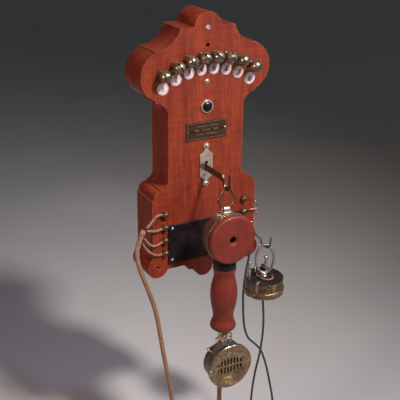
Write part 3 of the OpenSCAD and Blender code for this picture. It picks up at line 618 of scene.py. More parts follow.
FINISHES: tuple[Finish, ...] = (
    Wood("wood", (0.34, 0.05, 0.018), (0.17, 0.021, 0.009), (0.46, 0.13, 0.06)),
    Wood("dark_wood", (0.1, 0.035, 0.018), (0.05, 0.018, 0.01), (0.15, 0.06, 0.035), 0.7, 0.6, 0.0),
    Metal("steel", (0.3, 0.27, 0.25), (0.06, 0.045, 0.04), 200.0, 0.38, 0.8),
    Metal("brass", (0.54, 0.39, 0.23), (0.13, 0.08, 0.055), 190.0, 0.26, 0.85),
    Metal("pale_brass", (0.5, 0.42, 0.31), (0.12, 0.09, 0.07), 190.0, 0.27, 0.85),
    Metal("old_brass", (0.3, 0.21, 0.12), (0.05, 0.033, 0.024), 200.0, 0.28, 0.8),
    Metal("old_nickel", (0.4, 0.37, 0.36), (0.08, 0.06, 0.055), 120.0, 0.24, 0.8),
    Metal("bronze", (0.13, 0.07, 0.045), (0.055, 0.032, 0.024), 150.0, 0.42, 0.8, 0.5),
    Card("paper", (0.82, 0.66, 0.67), (0.62, 0.43, 0.42)),
    Metal("nickel", (0.74, 0.7, 0.68), (0.36, 0.25, 0.16), 150.0, 0.3, 0.8),
    Moulded("fibre", (0.13, 0.05, 0.03), (0.09, 0.035, 0.025), (0.2, 0.1, 0.06), 0.6),
    Moulded("black_resin", (0.008, 0.007, 0.008), (0.014, 0.011, 0.011), (0.07, 0.05, 0.04), 0.3, 0.06),
    Moulded(
        "red_resin", (0.21, 0.034, 0.022), (0.16, 0.024, 0.015), (0.32, 0.085, 0.055), 0.46, 0.06, 0.03
    ),
    Moulded("black_lacquer", (0.007, 0.004, 0.005), (0.014, 0.006, 0.007), (0.1, 0.055, 0.045), 0.5, 0.05),
    Metal("copper", (0.75, 0.36, 0.22), (0.34, 0.16, 0.09), 300.0, 0.34, 0.6),
    # The winding's second colour is its painted shade between the turns.
    Wound("winding", (0.16, 0.3, 0.14), (0.03, 0.05, 0.03)),
    Metal("iron", (0.12, 0.115, 0.11), (0.05, 0.035, 0.028), 240.0, 0.5, 0.85),
    # Each braid's second colour is its painted groove shade, which soil also takes.
    Thread("braid", (0.42, 0.22, 0.12), (0.23, 0.11, 0.06), (0.17, 0.08, 0.05)),
    Thread("dark_braid", (0.03, 0.028, 0.03), (0.008, 0.008, 0.009), (0.06, 0.05, 0.045), 6.0, 0.005),
)


class Wardrobe:
    """Holds the materials and dresses nodes and pieces in them."""

    def __init__(self, finishes: Iterable[Finish]) -> None:
        """Makes every finish's material.

        Args:
            finishes: the finishes to make.
        """
        effects = Effects()
        self.materials = {finish.slot: finish.make(effects) for finish in finishes}

    def put_on(self, piece: bpy.types.Object, slot: str) -> None:
        """Gives a piece one material over all its faces.

        Args:
            piece: the piece or solid node.
            slot: the finish's slot.
        """
        piece.data.materials.clear()
        piece.data.materials.append(self.materials[slot])

    def dress(self, surface: Surface, slot: str, *nodes: str) -> None:
        """Dresses solid nodes and eases their edges.

        Args:
            surface: how far the edges are eased.
            slot: the finish's slot.
            nodes: the nodes' names.
        """
        for name in nodes:
            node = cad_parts[name]
            self.put_on(node, slot)
            if surface is not Surface.SHARP:
                weld = node.modifiers.new("weld", "WELD")
                weld.merge_threshold = 0.000005
                ease = node.modifiers.new("ease", "BEVEL")
                ease.width = surface.value * MM
                ease.segments = 3
                ease.limit_method = "ANGLE"
                ease.angle_limit = math.radians(38)
                ease.use_clamp_overlap = True
                ease.harden_normals = True
            LOG.info("%s is dressed in %s", name, slot)

    def finish(self, piece: bpy.types.Object, slot: str, body: Body) -> bpy.types.Object:
        """Dresses a new piece and makes it ride.

        Args:
            piece: the new piece, in place.
            slot: its finish's slot.
            body: the body that it moves with.

        Returns:
            The same piece.
        """
        self.put_on(piece, slot)
        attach(piece, body.value)
        LOG.info("%s rides on %s in %s", piece.name, body.value, slot)
        return piece


# ---------------------------------------------------------------- meshes


@dataclass
class Route:
    """A line through points, with its corners rounded.

    Attributes:
        points: the points in millimetres.
        cut: how far from a corner its rounding starts, in millimetres.
        steps: the pieces in each rounding.
        closed: whether the line closes on itself.
    """

    points: Sequence[Point]
    cut: float = 1000.0
    steps: int = 5
    closed: bool = False

    def line(self) -> list[Vector]:
        """Gives the rounded line.

        Returns:
            Its points in metres.
        """
        corners = [Vector(p) * MM for p in self.points]
        count = len(corners)
        inner = range(count) if self.closed else range(1, count - 1)
        made = [] if self.closed else [corners[0]]
        for i in inner:
            before, here, after = corners[i - 1], corners[i], corners[(i + 1) % count]
            back, ahead = before - here, after - here
            start = here + back.normalized() * min(self.cut * MM, back.length * 0.5)
            end = here + ahead.normalized() * min(self.cut * MM, ahead.length * 0.5)
            for k in range(self.steps + 1):
                t = k / self.steps
                point = start * (1 - t) ** 2 + here * 2 * t * (1 - t) + end * t * t
                if not made or (point - made[-1]).length > 1e-5:
                    made.append(point)
        if not self.closed:
            made.append(corners[-1])
        elif (made[0] - made[-1]).length < 1e-5:
            made.pop()
        return made


@dataclass
class Strand:
    """A round strand along a line.

    Attributes:
        line: the line in metres.
        radius: the strand's radius in millimetres.
        sides: the facets round it.
        closed: whether the line closes on itself.
    """

    line: list[Vector]
    radius: float
    sides: int = 14
    closed: bool = False

    def frames(self) -> list[tuple[Vector, Vector]]:
        """Carries a sideways direction along the line.

        Returns:
            Two directions across the line at each point.
        """
        count = len(self.line)
        frames = []
        across = None
        for i, here in enumerate(self.line):
            before = self.line[i - 1] if i or self.closed else here
            after = self.line[(i + 1) % count] if i < count - 1 or self.closed else here
            ahead = (after - before).normalized()
            if across is None:
                across = ahead.cross(Vector((0.31, 0.9, 0.17)))
            across = (across - ahead * across.dot(ahead)).normalized()
            frames.append((across.copy(), ahead.cross(across)))
        return frames

    def add_to(self, mesh: bmesh.types.BMesh) -> None:
        """Adds the strand to a mesh, with its length and turn as coordinates.

        Args:
            mesh: the mesh to add to.
        """
        layer = mesh.loops.layers.uv.verify()
        count, rings, runs, total = len(self.line), [], [], 0.0
        radius = self.radius * MM
        turns = [2 * math.pi * k / self.sides for k in range(self.sides)]
        for i, (here, (a, b)) in enumerate(zip(self.line, self.frames())):
            total += (here - self.line[i - 1]).length if i else 0.0
            rings.append([
                mesh.verts.new(here + (a * math.cos(t) + b * math.sin(t)) * radius)
                for t in turns
            ])
            runs.append(total)
        last = count if self.closed else count - 1
        for i in range(last):
            j = (i + 1) % count
            reach = runs[j] if j else total + (self.line[0] - self.line[-1]).length
            for k in range(self.sides):
                n = (k + 1) % self.sides
                face = mesh.faces.new((rings[i][k], rings[i][n], rings[j][n], rings[j][k]))
                face.smooth = True
                spots = ((k, runs[i]), (k + 1, runs[i]), (k + 1, reach), (k, reach))
                for loop, (turn, run) in zip(face.loops, spots):
                    loop[layer].uv = (turn / self.sides, run)
        if not self.closed:
            mesh.faces.new(list(reversed(rings[0])))
            mesh.faces.new(rings[-1])


def linked(name: str, mesh: bmesh.types.BMesh) -> bpy.types.Object:
    """Turns a finished mesh into a piece of the scene.

    Args:
        name: the piece's name.
        mesh: the mesh, which is used up.

    Returns:
        The piece.
    """
    data = bpy.data.meshes.new(name)
    mesh.to_mesh(data)
    mesh.free()
    piece = bpy.data.objects.new(name, data)
    bpy.context.scene.collection.objects.link(piece)
    return piece


def piece_from(name: str, shapes: Iterable[Strand | "Ring" | "Lathe" | "Slab"]) -> bpy.types.Object:
    """Makes one piece from shapes.

    Args:
        name: the piece's name.
        shapes: the shapes that it holds.

    Returns:
        The piece, linked to the scene.
    """
    mesh = bmesh.new()
    for shape in shapes:
        shape.add_to(mesh)
    bmesh.ops.recalc_face_normals(mesh, faces=mesh.faces)
    return linked(name, mesh)


@dataclass
class Lathe:
    """A turned shape.

    Attributes:
        place: the foot of its axis in millimetres.
        axis: the axis's direction.
        profile: pairs of distance along the axis and radius, in millimetres.
        sides: the facets round it.
    """

    place: Point
    axis: Point
    profile: Sequence[tuple[float, float]]
    sides: int = 40

    def add_to(self, mesh: bmesh.types.BMesh) -> None:
        """Adds the turned shape to a mesh.

        Args:
            mesh: the mesh to add to.
        """
        axis = Vector(self.axis).normalized()
        a = axis.orthogonal().normalized()
        b = axis.cross(a)
        foot = Vector(self.place)
        rings = []
        for along, radius in self.profile:
            turns = [2 * math.pi * k / self.sides for k in range(self.sides)]
            rings.append([
                mesh.verts.new((foot + axis * along + (a * math.cos(t) + b * math.sin(t)) * radius) * MM)
                for t in turns
            ])
        for low, high in zip(rings, rings[1:]):
            for k in range(self.sides):
                n = (k + 1) % self.sides
                face = mesh.faces.new((low[k], low[n], high[n], high[k]))
                face.smooth = True
        mesh.faces.new(list(reversed(rings[0])))
        mesh.faces.new(rings[-1])


@dataclass
class Ring:
    """A flat ring that lies on an upright face.

    Attributes:
        place: its centre on the face, in millimetres.
        inner: its inner radius in millimetres.
        outer: its outer radius in millimetres.
        height: how far it stands proud, in millimetres.
        sides: the facets round it.
    """

    place: Point
    inner: float
    outer: float
    height: float
    sides: int = 40

    def add_to(self, mesh: bmesh.types.BMesh) -> None:
        """Adds the ring to a mesh.

        Args:
            mesh: the mesh to add to.
        """
        x, y, z = self.place
        rings = []
        inner, outer, proud = self.inner, self.outer, self.height
        for radius, lift in ((inner, 0.0), (inner, proud), (outer, proud), (outer, 0.0)):
            turns = [2 * math.pi * k / self.sides for k in range(self.sides)]
            rings.append([
                mesh.verts.new(Vector((x + radius * math.cos(t), y - lift, z + radius * math.sin(t))) * MM)
                for t in turns
            ])
        for i in range(4):
            low, high = rings[i], rings[(i + 1) % 4]
            for k in range(self.sides):
                n = (k + 1) % self.sides
                mesh.faces.new((low[k], low[n], high[n], high[k]))


@dataclass
class Slab:
    """A low bar with rounded ends that lies on an upright face.

    Attributes:
        place: its centre on the face, in millimetres.
        length: its length in millimetres.
        width: its width in millimetres.
        height: how far it stands proud, in millimetres.
        upright: whether its length runs up the face.
    """

    place: Point
    length: float
    width: float
    height: float
    upright: bool = False

    def add_to(self, mesh: bmesh.types.BMesh) -> None:
        """Adds the bar to a mesh.

        Args:
            mesh: the mesh to add to.
        """
        x, y, z = self.place
        half, reach = self.width / 2, max(0.0, self.length / 2 - self.width / 2)
        outline = []
        for k in range(16):
            turn = -math.pi / 2 + math.pi * (k if k < 8 else k - 1) / 7
            side = 1 if k < 8 else -1
            outline.append((side * reach + half * math.cos(turn), half * math.sin(turn)))
        rings = []
        for lift, ease in ((0.0, 1.0), (self.height * 0.6, 1.0), (self.height, 0.72)):
            ring = []
            for along, across in outline:
                shift = math.copysign(reach, along)
                along, across = shift + (along - shift) * ease, across * ease
                dx, dz = (across, along) if self.upright else (along, across)
                ring.append(mesh.verts.new(Vector((x + dx, y - lift, z + dz)) * MM))
            rings.append(ring)
        for low, high in zip(rings, rings[1:]):
            for k in range(16):
                n = (k + 1) % 16
                mesh.faces.new((low[k], low[n], high[n], high[k]))
        mesh.faces.new(rings[-1])
        mesh.faces.new(list(reversed(rings[0])))


def twisted(line: list[Vector], spacing: float, pitch: float, phase: float) -> list[Vector]:
    """Winds a line round another.

    Args:
        line: the middle line in metres.
        spacing: the distance from it in millimetres.
        pitch: the length of one turn in millimetres.
        phase: where the turn starts, in radians.

    Returns:
        The wound line in metres.
    """
    fine = []
    for a, b in zip(line, line[1:]):
        parts = max(1, round((b - a).length / (pitch * MM) * 10))
        fine += [a.lerp(b, k / parts) for k in range(parts)]
    fine.append(line[-1])
    frames = Strand(fine, 1.0).frames()
    made, run = [], 0.0
    for i, (here, (a, b)) in enumerate(zip(fine, frames)):
        run += (here - fine[i - 1]).length if i else 0.0
        turn = phase + 2 * math.pi * run / (pitch * MM)
        made.append(here + (a * math.cos(turn) + b * math.sin(turn)) * spacing * MM)
    return made


# ---------------------------------------------------------------- the telephone


@dataclass
class View:
    """The camera, above and to the left of the telephone.

    Attributes:
        place: where it stands, in metres.
        yaw: its turn to the right, in degrees.
        pitch: how far it looks down, in degrees.
        roll: its tilt, in degrees.
        lens: its focal length in millimetres.
    """

    place: Point = (-0.4798, -0.8868, 0.2132)
    yaw: float = 29.274
    pitch: float = 22.923
    roll: float = 0.906
    lens: float = 75.156

    def build(self) -> None:
        """Makes the camera and looks through it."""
        yaw, pitch, roll = (math.radians(a) for a in (self.yaw, self.pitch, self.roll))
        ahead = Vector((math.sin(yaw) * math.cos(pitch), math.cos(yaw) * math.cos(pitch), -math.sin(pitch)))
        level = Vector((math.cos(yaw), -math.sin(yaw), 0.0))
        over = level.cross(ahead)
        right = level * math.cos(roll) + over * math.sin(roll)
        up = over * math.cos(roll) - level * math.sin(roll)
        data = bpy.data.cameras.new("camera")
        data.lens, data.sensor_width, data.clip_start = self.lens, 36.0, 0.01
        camera = bpy.data.objects.new("camera", data)
        bpy.context.scene.collection.objects.link(camera)
        axes = Matrix((right, up, -ahead)).transposed().to_4x4()
        camera.matrix_world = Matrix.Translation(Vector(self.place)) @ axes
        bpy.context.scene.camera = camera
        LOG.info("camera stands at %s", self.place)


@dataclass
class Cords:
    """The handset's tan cord and the second receiver's dark cord.

    Attributes:
        handset_radius: the tan cord's radius in millimetres.
        receiver_radius: the dark cord's radius in millimetres.
    """

    handset_radius: float = 3.0
    receiver_radius: float = 1.5

    HANDSET_ROUTE = (
        (-88, -48, -219), (-92, -48, -228), (-96, -48, -238), (-98, -49, -249), (-97, -50, -261),
        (-93, -51, -275), (-88, -52, -290), (-81, -53, -311), (-75, -55, -333), (-71, -57, -362),
        (-67, -59, -394), (-64, -61, -415), (-60, -64, -442), (-58, -67, -468), (-54, -70, -494),
        (-49, -73, -520), (-43, -76, -542), (-35, -80, -559), (-25, -84, -570), (-15, -88, -572),
        (-7, -90, -563), (-2, -92, -545), (0, -92, -520), (0, -92, -495), (0, -92, -470),
        (0, -92, -448), (0, -92, -426),
    )
    RECEIVER_ROUTE = (
        (62, -48, -257), (66, -50, -259), (67, -53, -268), (61, -57, -285), (55, -59, -308),
        (52, -60, -335), (53, -60, -362), (56, -60, -392), (63, -60, -410), (74, -60, -421),
        (85, -60, -434), (91, -60, -450), (96, -60, -465), (102, -60, -490), (108, -60, -515),
        (112, -60, -540), (110, -59, -560), (101, -58, -574), (89, -57, -577), (79, -56, -568),
        (74, -56, -550), (75, -56, -525), (77, -55, -500), (82, -53, -475), (90, -49, -455),
        (97, -44, -436), (102, -39, -415), (104, -35, -395), (104, -31, -375), (102, -30, -350),
        (100, -30, -332), (99.5, -31, -322), (98, -34, -315), (96.8, -42.2, -314),
    )
    TAIL_ROUTES = (
        ((-62, -47, -204), (-67, -47, -203), (-74, -47, -208), (-80, -48, -214), (-84, -48, -217)),
        ((-62, -47, -222.5), (-68, -47, -224), (-74, -47, -224), (-79, -47.5, -222), (-83.5, -48, -221)),
        (
            (-62, -47, -240.5), (-66, -47, -243), (-71, -47, -244.5), (-78, -47, -242),
            (-83, -47.5, -236), (-87, -48, -230),
        ),
        (
            (-62, -47, -257.5), (-68, -47, -258), (-75, -47, -255), (-82, -46, -249),
            (-87, -45, -241), (-89.5, -44, -233),
        ),
    )

    def build(self, wardrobe: Wardrobe) -> None:
        """Hangs both cords and their ends.

        Args:
            wardrobe: what dresses them.
        """
        tails = piece_from("terminal_tails", [Strand(Route(t).line(), 1.5, 12) for t in self.TAIL_ROUTES])
        wardrobe.finish(tails, "braid", Body.CASE)
        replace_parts(tails, "cord_tails")
        tie = self._tie()
        wardrobe.finish(tie, "braid", Body.CASE)
        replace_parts(tie, "cord_tie")
        self._hang(
            wardrobe, "handset_lead", "handset_cord", self.HANDSET_ROUTE, self.handset_radius, "braid",
            (Body.CASE, Body.HANDSET), ((-0.06, -0.09, -0.5), (-0.002, -0.09, -0.5)), (tails, tie),
        )
        self._hang(
            wardrobe, "receiver_lead", "receiver_cord", self.RECEIVER_ROUTE, self.receiver_radius,
            "dark_braid", (Body.CASE, Body.SECOND),
            ((0.07925, -0.04, -0.3183), (0.0968, -0.04, -0.314)), (),
        )

    def _tie(self) -> bpy.types.Object:
        """Winds the whipping where the tails join the cord.

        Returns:
            The whipping.
        """
        top, below = Vector(self.HANDSET_ROUTE[0]) * MM, Vector(self.HANDSET_ROUTE[1]) * MM
        middle = top.lerp(below, 0.5)
        along = (below - top).normalized()
        core = [middle - along * 0.0016, middle + along * 0.0016]
        winding = twisted(core, self.handset_radius + 0.25, 0.8, 0.0)
        return piece_from("cord_whipping", [Strand(winding, 0.4, 8)])

    @staticmethod
    def _hang(
        wardrobe: Wardrobe, name: str, node: str, route: Sequence[Point], radius: float, slot: str,
        bodies: tuple[Body, Body], share: tuple[Point, Point], ends: Sequence[bpy.types.Object],
    ) -> None:
        """Makes one cord.

        Args:
            wardrobe: what dresses it.
            name: the piece's name.
            node: the solid node that it stands for.
            route: the points that it follows, in millimetres.
            radius: its radius in millimetres.
            slot: its finish's slot.
            bodies: the bodies at its two ends; not used.
            share: the points between which it passes from one body to the other; not used.
            ends: the pieces on it; not used.
        """
        line = Route(route, steps=4).line()
        cord = piece_from(name, [Strand(line, radius, 16)])
        wardrobe.put_on(cord, slot)
        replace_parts(cord, node)
        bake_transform(cord)


@dataclass
class Case:
    """The wooden case, its back and its screws."""

    def build(self, wardrobe: Wardrobe) -> None:
        """Dresses the case.

        Args:
            wardrobe: what dresses it.
        """
        wardrobe.dress(Surface.PLANED, "wood", "case_shell")
        wardrobe.dress(Surface.TURNED, "dark_wood", "back_board")
        wardrobe.dress(Surface.STAMPED, "steel", "back_board_screws")
        wardrobe.dress(Surface.STAMPED, "nickel", "case_screws")


@dataclass
class LineTerminals:
    """The eight ball terminals and their numbered labels.

    Attributes:
        spacing: the labels' spacing in millimetres.
        arch: the radius of the curve that they follow.
        top: the height of that curve's middle.
        face: where the labels' front face is.
        rim: the inner and outer radius of the printed rim.
        figure: the numerals' height.
        count: how many labels there are.
    """

    spacing: float = 16.9
    arch: float = 105.0
    top: float = -28.0
    face: float = -45.0
    rim: tuple[float, float] = (6.3, 6.6)
    figure: float = 7.6
    count: int = 8

    def _label(self, index: int) -> tuple[float, float]:
        """Gives a label's place.

        Args:
            index: the label's number from 0.

        Returns:
            Its x and z in millimetres.
        """
        x = (index - (self.count - 1) / 2) * self.spacing
        return x, self.top - (self.arch - math.sqrt(self.arch**2 - x * x))

    def _numeral(self, index: int) -> bpy.types.Object:
        """Makes one numeral in relief.

        Args:
            index: the label's number from 0.

        Returns:
            The numeral's piece.
        """
        text = bpy.data.curves.new("numeral", "FONT")
        text.body = str(index + 1)
        text.size = self.figure * MM * 1.35
        text.extrude = 0.00004
        text.align_x, text.align_y = "CENTER", "CENTER"
        shape = bpy.data.objects.new("numeral", text)
        bpy.context.scene.collection.objects.link(shape)
        bpy.context.view_layer.update()
        solid = shape.evaluated_get(bpy.context.evaluated_depsgraph_get())
        data = bpy.data.meshes.new_from_object(solid)
        bpy.data.objects.remove(shape)
        x, z = self._label(index)
        turn = Matrix.Rotation(math.radians(90), 4, "X")
        data.transform(Matrix.Translation(Vector((x, self.face - 0.05, z)) * MM) @ turn)
        piece = bpy.data.objects.new(f"numeral_{index + 1}", data)
        bpy.context.scene.collection.objects.link(piece)
        return piece

    def build(self, wardrobe: Wardrobe) -> None:
        """Dresses the terminals and prints their labels.

        Args:
            wardrobe: what dresses them.
        """
        # The collars take the darker old brass: partly age, partly painted shade from the balls in front of
        # them.
        wardrobe.dress(Surface.STAMPED, "old_brass", "post_collars")
        wardrobe.dress(Surface.STAMPED, "pale_brass", "post_balls")
        wardrobe.dress(Surface.STAMPED, "brass", "post_nuts")
        wardrobe.dress(Surface.SHARP, "paper", "post_labels")
        for index in range(self.count):
            wardrobe.finish(self._numeral(index), "black_resin", Body.CASE)
        rims = []
        for index in range(self.count):
            x, z = self._label(index)
            rims.append(Ring((x, self.face, z), *self.rim, 0.06))
        wardrobe.finish(piece_from("label_rims", rims), "fibre", Body.CASE)


@dataclass
class NamePlate:
    """The bronze plate, with a plain border and plain relief lines.

    Attributes:
        centre: the height of its middle in millimetres.
        half: half its width and half its height.
        face: where its front face is.
        word_gap: the gap between two raised lines.
    """

    centre: float = -103.73
    half: tuple[float, float] = (28.3, 11.6)
    face: float = -45.0
    word_gap: float = 3.0

    ROWS = ((5.2, (15, 11)), (0.4, (7, 13, 9)), (-5.0, (10, 16)))

    def build(self, wardrobe: Wardrobe) -> None:
        """Dresses the plate and adds its relief.

        Args:
            wardrobe: what dresses it.
        """
        wardrobe.dress(Surface.STAMPED, "bronze", "name_plate")
        wardrobe.dress(Surface.SHARP, "brass", "name_plate_pins")
        wide, high = self.half[0] - 1.5, self.half[1] - 1.5
        relief = [Slab((0, self.face, self.centre + s * high), 2 * wide, 0.7, 0.25) for s in (-1, 1)]
        relief += [Slab((s * wide, self.face, self.centre), 2 * high, 0.7, 0.25, True) for s in (-1, 1)]
        for row, words in self.ROWS:
            start = -(sum(words) + self.word_gap * (len(words) - 1)) / 2
            for word in words:
                place = (start + word / 2, self.face, self.centre + row)
                relief.append(Slab(place, word, 1.5, 0.2))
                start += word + self.word_gap
        wardrobe.finish(piece_from("name_plate_relief", relief), "old_brass", Body.CASE)


@dataclass
class CallButton:
    """The call button, its bezel and its hidden contacts."""

    def build(self, wardrobe: Wardrobe) -> None:
        """Dresses the button.

        Args:
            wardrobe: what dresses it.
        """
        wardrobe.dress(Surface.STAMPED, "nickel", "button_bezel")
        wardrobe.dress(Surface.STAMPED, "black_resin", "call_button")
        wardrobe.dress(Surface.STAMPED, "fibre", "button_base")
        wardrobe.dress(Surface.SHARP, "brass", "button_contacts")
        wardrobe.dress(Surface.SHARP, "steel", "button_spring")


@dataclass
class HookSwitch:
    """The hook lever, its plate and its hidden springs."""

    def build(self, wardrobe: Wardrobe) -> None:
        """Dresses the switch.

        Args:
            wardrobe: what dresses it.
        """
        wardrobe.dress(Surface.STAMPED, "nickel", "switch_plate", "switch_plate_screws")
        wardrobe.dress(Surface.STAMPED, "old_brass", "hook_lever")
        wardrobe.dress(Surface.STAMPED, "brass", "switch_bracket", "switch_springs")
        wardrobe.dress(Surface.STAMPED, "fibre", "spring_insulators")
        wardrobe.dress(Surface.SHARP, "steel", "lever_pin")


@dataclass
class TerminalBoard:
    """The black plate with a row of terminal screws on each side, and the coil behind it.

    Attributes:
        wire_radius: the line wires' radius in millimetres.
        hook_radius: the side hook's radius in millimetres.
    """

    wire_radius: float = 0.9
    hook_radius: float = 1.25

    WIRES = (
        (
            (61.5, -46, -222.2), (75, -46, -222.2), (78.5, -46, -223.2), (76.5, -46, -216.2),
            (74.6, -46, -211.2), (74.6, -30, -208.2),
        ),
        (
            (61.5, -46, -239.7), (70.5, -46, -240.7), (77.3, -46, -231.7), (75.7, -46, -227.7),
            (74.6, -30, -229.7),
        ),
    )

    def _hook(self) -> bpy.types.Object:
        """Bends the side hook that the second receiver hangs on.

        Returns:
            The hook.
        """
        points = [(70, -32, -246), (70, -48, -246), (70.5, -50, -248.5), (73, -50, -256), (77, -51, -261.5)]
        bend = ((-8.2, 9.5), (-6.4, 2.2), (-4.6, 0), (4.6, 0), (6.2, 2.4), (8, 10), (8.6, 17.5))
        points += [(84.4 + 0.35 * s, -60 - 0.94 * s, -274.5 + up) for s, up in bend]
        return piece_from("side_hook_rod", [Strand(Route(points, 3.0).line(), self.hook_radius)])

    def build(self, wardrobe: Wardrobe) -> None:
        """Dresses the board and bends its wires and hook.

        Args:
            wardrobe: what dresses it.
        """
        wardrobe.dress(Surface.STAMPED, "black_lacquer", "terminal_plate")
        wardrobe.dress(Surface.SHARP, "nickel", "terminal_plate_screws")
        wardrobe.dress(Surface.STAMPED, "old_brass", "side_collars", "side_screws")
        wardrobe.dress(Surface.SHARP, "fibre", "coil_bobbin")
        wardrobe.dress(Surface.SHARP, "winding", "coil_winding")
        wardrobe.dress(Surface.SHARP, "iron", "coil_core", "coil_bracket")
        bent = [Strand(Route(wire, 2.5).line(), self.wire_radius) for wire in self.WIRES]
        wires = piece_from("bare_line_wires", bent)
        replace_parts(wardrobe.finish(wires, "copper", Body.CASE), "line_wires")
        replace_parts(wardrobe.finish(self._hook(), "steel", Body.CASE), "side_hook")


@dataclass
class Handset:
    """The handset: earpiece, handle, mouthpiece, hanging ring and wires.

    Attributes:
        ring_radius: the hanging ring's wire radius in millimetres.
        wire_radius: the mouthpiece wires' radius in millimetres.
    """

    ring_radius: float = 1.4
    wire_radius: float = 0.9

    RING = (
        (-2.5, -96, -160.43), (2.5, -96, -160.43), (12, -96, -176.73),
        (6, -96, -188.53), (-6, -96, -188.53), (-12, -96, -176.73),
    )
    WIRES = (
        (
            (-25.6, -100, -377.8), (-11.5, -100, -372.8), (-8, -104, -366.8), (0, -104, -362.8),
            (5, -104, -364.8), (8, -103, -366.8),
        ),
        (
            (11.3, -100, -369.8), (10, -101, -362.8), (6, -105, -359.3), (-4, -105, -359.3),
            (-10.5, -102, -361.8), (-12.5, -100, -367.3),
        ),
    )

    def build(self, wardrobe: Wardrobe) -> None:
        """Dresses the handset and bends its ring and wires.

        Args:
            wardrobe: what dresses it.
        """
        wardrobe.dress(Surface.STAMPED, "nickel", "ring_lug", "mic_bracket", "mic_posts")
        wardrobe.dress(Surface.STAMPED, "old_nickel", "receiver_can", "mic_can")
        wardrobe.dress(Surface.STAMPED, "brass", "receiver_band", "mic_grille", "mic_screws")
        wardrobe.dress(Surface.TURNED, "red_resin", "ear_cap", "handle")
        wardrobe.dress(Surface.STAMPED, "black_resin", "neck_collar")
        wardrobe.dress(Surface.STAMPED, "brass", "cord_ferrule")
        wardrobe.dress(Surface.SHARP, "iron", "ear_diaphragm", "ear_magnet", "mic_capsule")
        wardrobe.dress(Surface.SHARP, "winding", "ear_coils")
        wardrobe.dress(Surface.SHARP, "steel", "handle_rod")
        loop = Route(self.RING, 3.2, closed=True).line()
        ring = piece_from("hanging_ring_wire", [Strand(loop, self.ring_radius, closed=True)])
        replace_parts(wardrobe.finish(ring, "old_brass", Body.RING), "hanging_ring")
        bent = [Strand(Route(wire).line(), self.wire_radius, 10) for wire in self.WIRES]
        wires = piece_from("mouthpiece_wires", bent)
        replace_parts(wardrobe.finish(wires, "copper", Body.HANDSET), "mic_wires")


@dataclass
class SecondReceiver:
    """The second receiver, with its magnet loop, posts, clip and twisted wires.

    Attributes:
        axis: the x and y of its axis in millimetres.
        top: the height of its back in millimetres.
        loop_top: the height of the loop's bar at its top.
        loop_half: half the loop's width and half its height, to the bar's middle.
        loop_turn: the loop's turn about the axis, in degrees.
        bar_radius: the loop bar's radius.
        wire_radius: the radius of each twisted wire.
        clip_turn: where the clip stands round the can, in degrees.
        clip_half: half the clip's width.
        clip_ease: how far the clip's edges are eased.
        loop_points: the points that the loop is bent through.
    """

    axis: tuple[float, float] = (84.4, -60.0)
    top: float = -318.0
    loop_top: float = -271.25
    loop_half: tuple[float, float] = (12.0, 21.0)
    loop_turn: float = -25.0
    bar_radius: float = 1.9
    wire_radius: float = 0.8
    clip_turn: float = 217.0
    clip_half: float = 1.7
    clip_ease: float = 0.3
    loop_points: int = 28

    FOOT = ((0, 4.4), (0.8, 4.6), (1.6, 4.3), (2.4, 3.2), (4.2, 2.8), (5.6, 2.2))
    CLIP_OUTSIDE = ((19, 0.5), (25.2, 0.5), (26.1, 0.2), (26.6, -0.6), (26.6, -13.6))
    CLIP_INSIDE = ((26.1, -13.6), (26.1, -0.6), (25.6, 0.05), (19, 0.05))
    WIRES = (
        (88, -35, -314.5), (82, -42, -315.5), (77.5, -50, -316), (75.5, -60, -316.1), (77, -69, -316.1),
        (81, -75, -316.1), (87, -76, -316.1), (92, -71, -316.1), (94, -65, -316.1),
    )

    def _loop(self) -> bpy.types.Object:
        """Bends the magnet's oval loop and sets it on its foot.

        Returns:
            The loop with its foot.
        """
        x, y = self.axis
        turn = math.radians(self.loop_turn)
        middle = self.loop_top - self.loop_half[1]
        corners = []
        for k in range(self.loop_points):
            swing = 2 * math.pi * k / self.loop_points
            along = self.loop_half[0] * math.sin(swing)
            height = middle + self.loop_half[1] * math.cos(swing)
            corners.append((x + along * math.cos(turn), y + along * math.sin(turn), height))
        bar = Strand(Route(corners, steps=3, closed=True).line(), self.bar_radius, closed=True)
        foot = Lathe((x, y, self.top), (0, 0, 1), self.FOOT)
        return piece_from("receiver_magnet_loop", [bar, foot])

    def _clip(self) -> bpy.types.Object:
        """Folds the thin clip over the can's edge.

        Returns:
            The clip.
        """
        mesh = bmesh.new()
        turn = math.radians(self.clip_turn)
        out = Vector((math.cos(turn), math.sin(turn), 0))
        side = Vector((-math.sin(turn), math.cos(turn), 0))
        foot = Vector((*self.axis, self.top))
        edge, flat = self.clip_half, self.clip_half - self.clip_ease
        rings = []
        for shift, ease in ((-edge, 0.12), (-flat, 0.0), (flat, 0.0), (edge, 0.12)):
            rings.append([
                mesh.verts.new((foot + out * (r - ease) + side * shift + Vector((0, 0, z))) * MM)
                for r, z in self.CLIP_OUTSIDE + self.CLIP_INSIDE
            ])
        count = len(rings[0])
        for low, high in zip(rings, rings[1:]):
            for k in range(count):
                n = (k + 1) % count
                mesh.faces.new((low[k], low[n], high[n], high[k]))
        mesh.faces.new(list(reversed(rings[0])))
        mesh.faces.new(rings[-1])
        bmesh.ops.recalc_face_normals(mesh, faces=mesh.faces)
        return linked("receiver_clip", mesh)

    def build(self, wardrobe: Wardrobe) -> None:
        """Dresses the receiver, sets its loop and clip, and twists its wires.

        Args:
            wardrobe: what dresses it.
        """
        wardrobe.dress(Surface.TURNED, "brass", "second_can", "second_cap")
        wardrobe.dress(Surface.TURNED, "black_resin", "second_back")
        wardrobe.dress(Surface.STAMPED, "nickel", "second_posts")
        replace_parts(wardrobe.finish(self._loop(), "nickel", Body.SECOND), "second_magnet")
        wardrobe.finish(self._clip(), "nickel", Body.SECOND)
        line = Route(self.WIRES).line()
        strands = [
            Strand(twisted(line, self.wire_radius, 9.0, phase), self.wire_radius, 8)
            for phase in (0.0, math.pi)
        ]
        wardrobe.finish(piece_from("receiver_twisted_wires", strands), "copper", Body.SECOND)


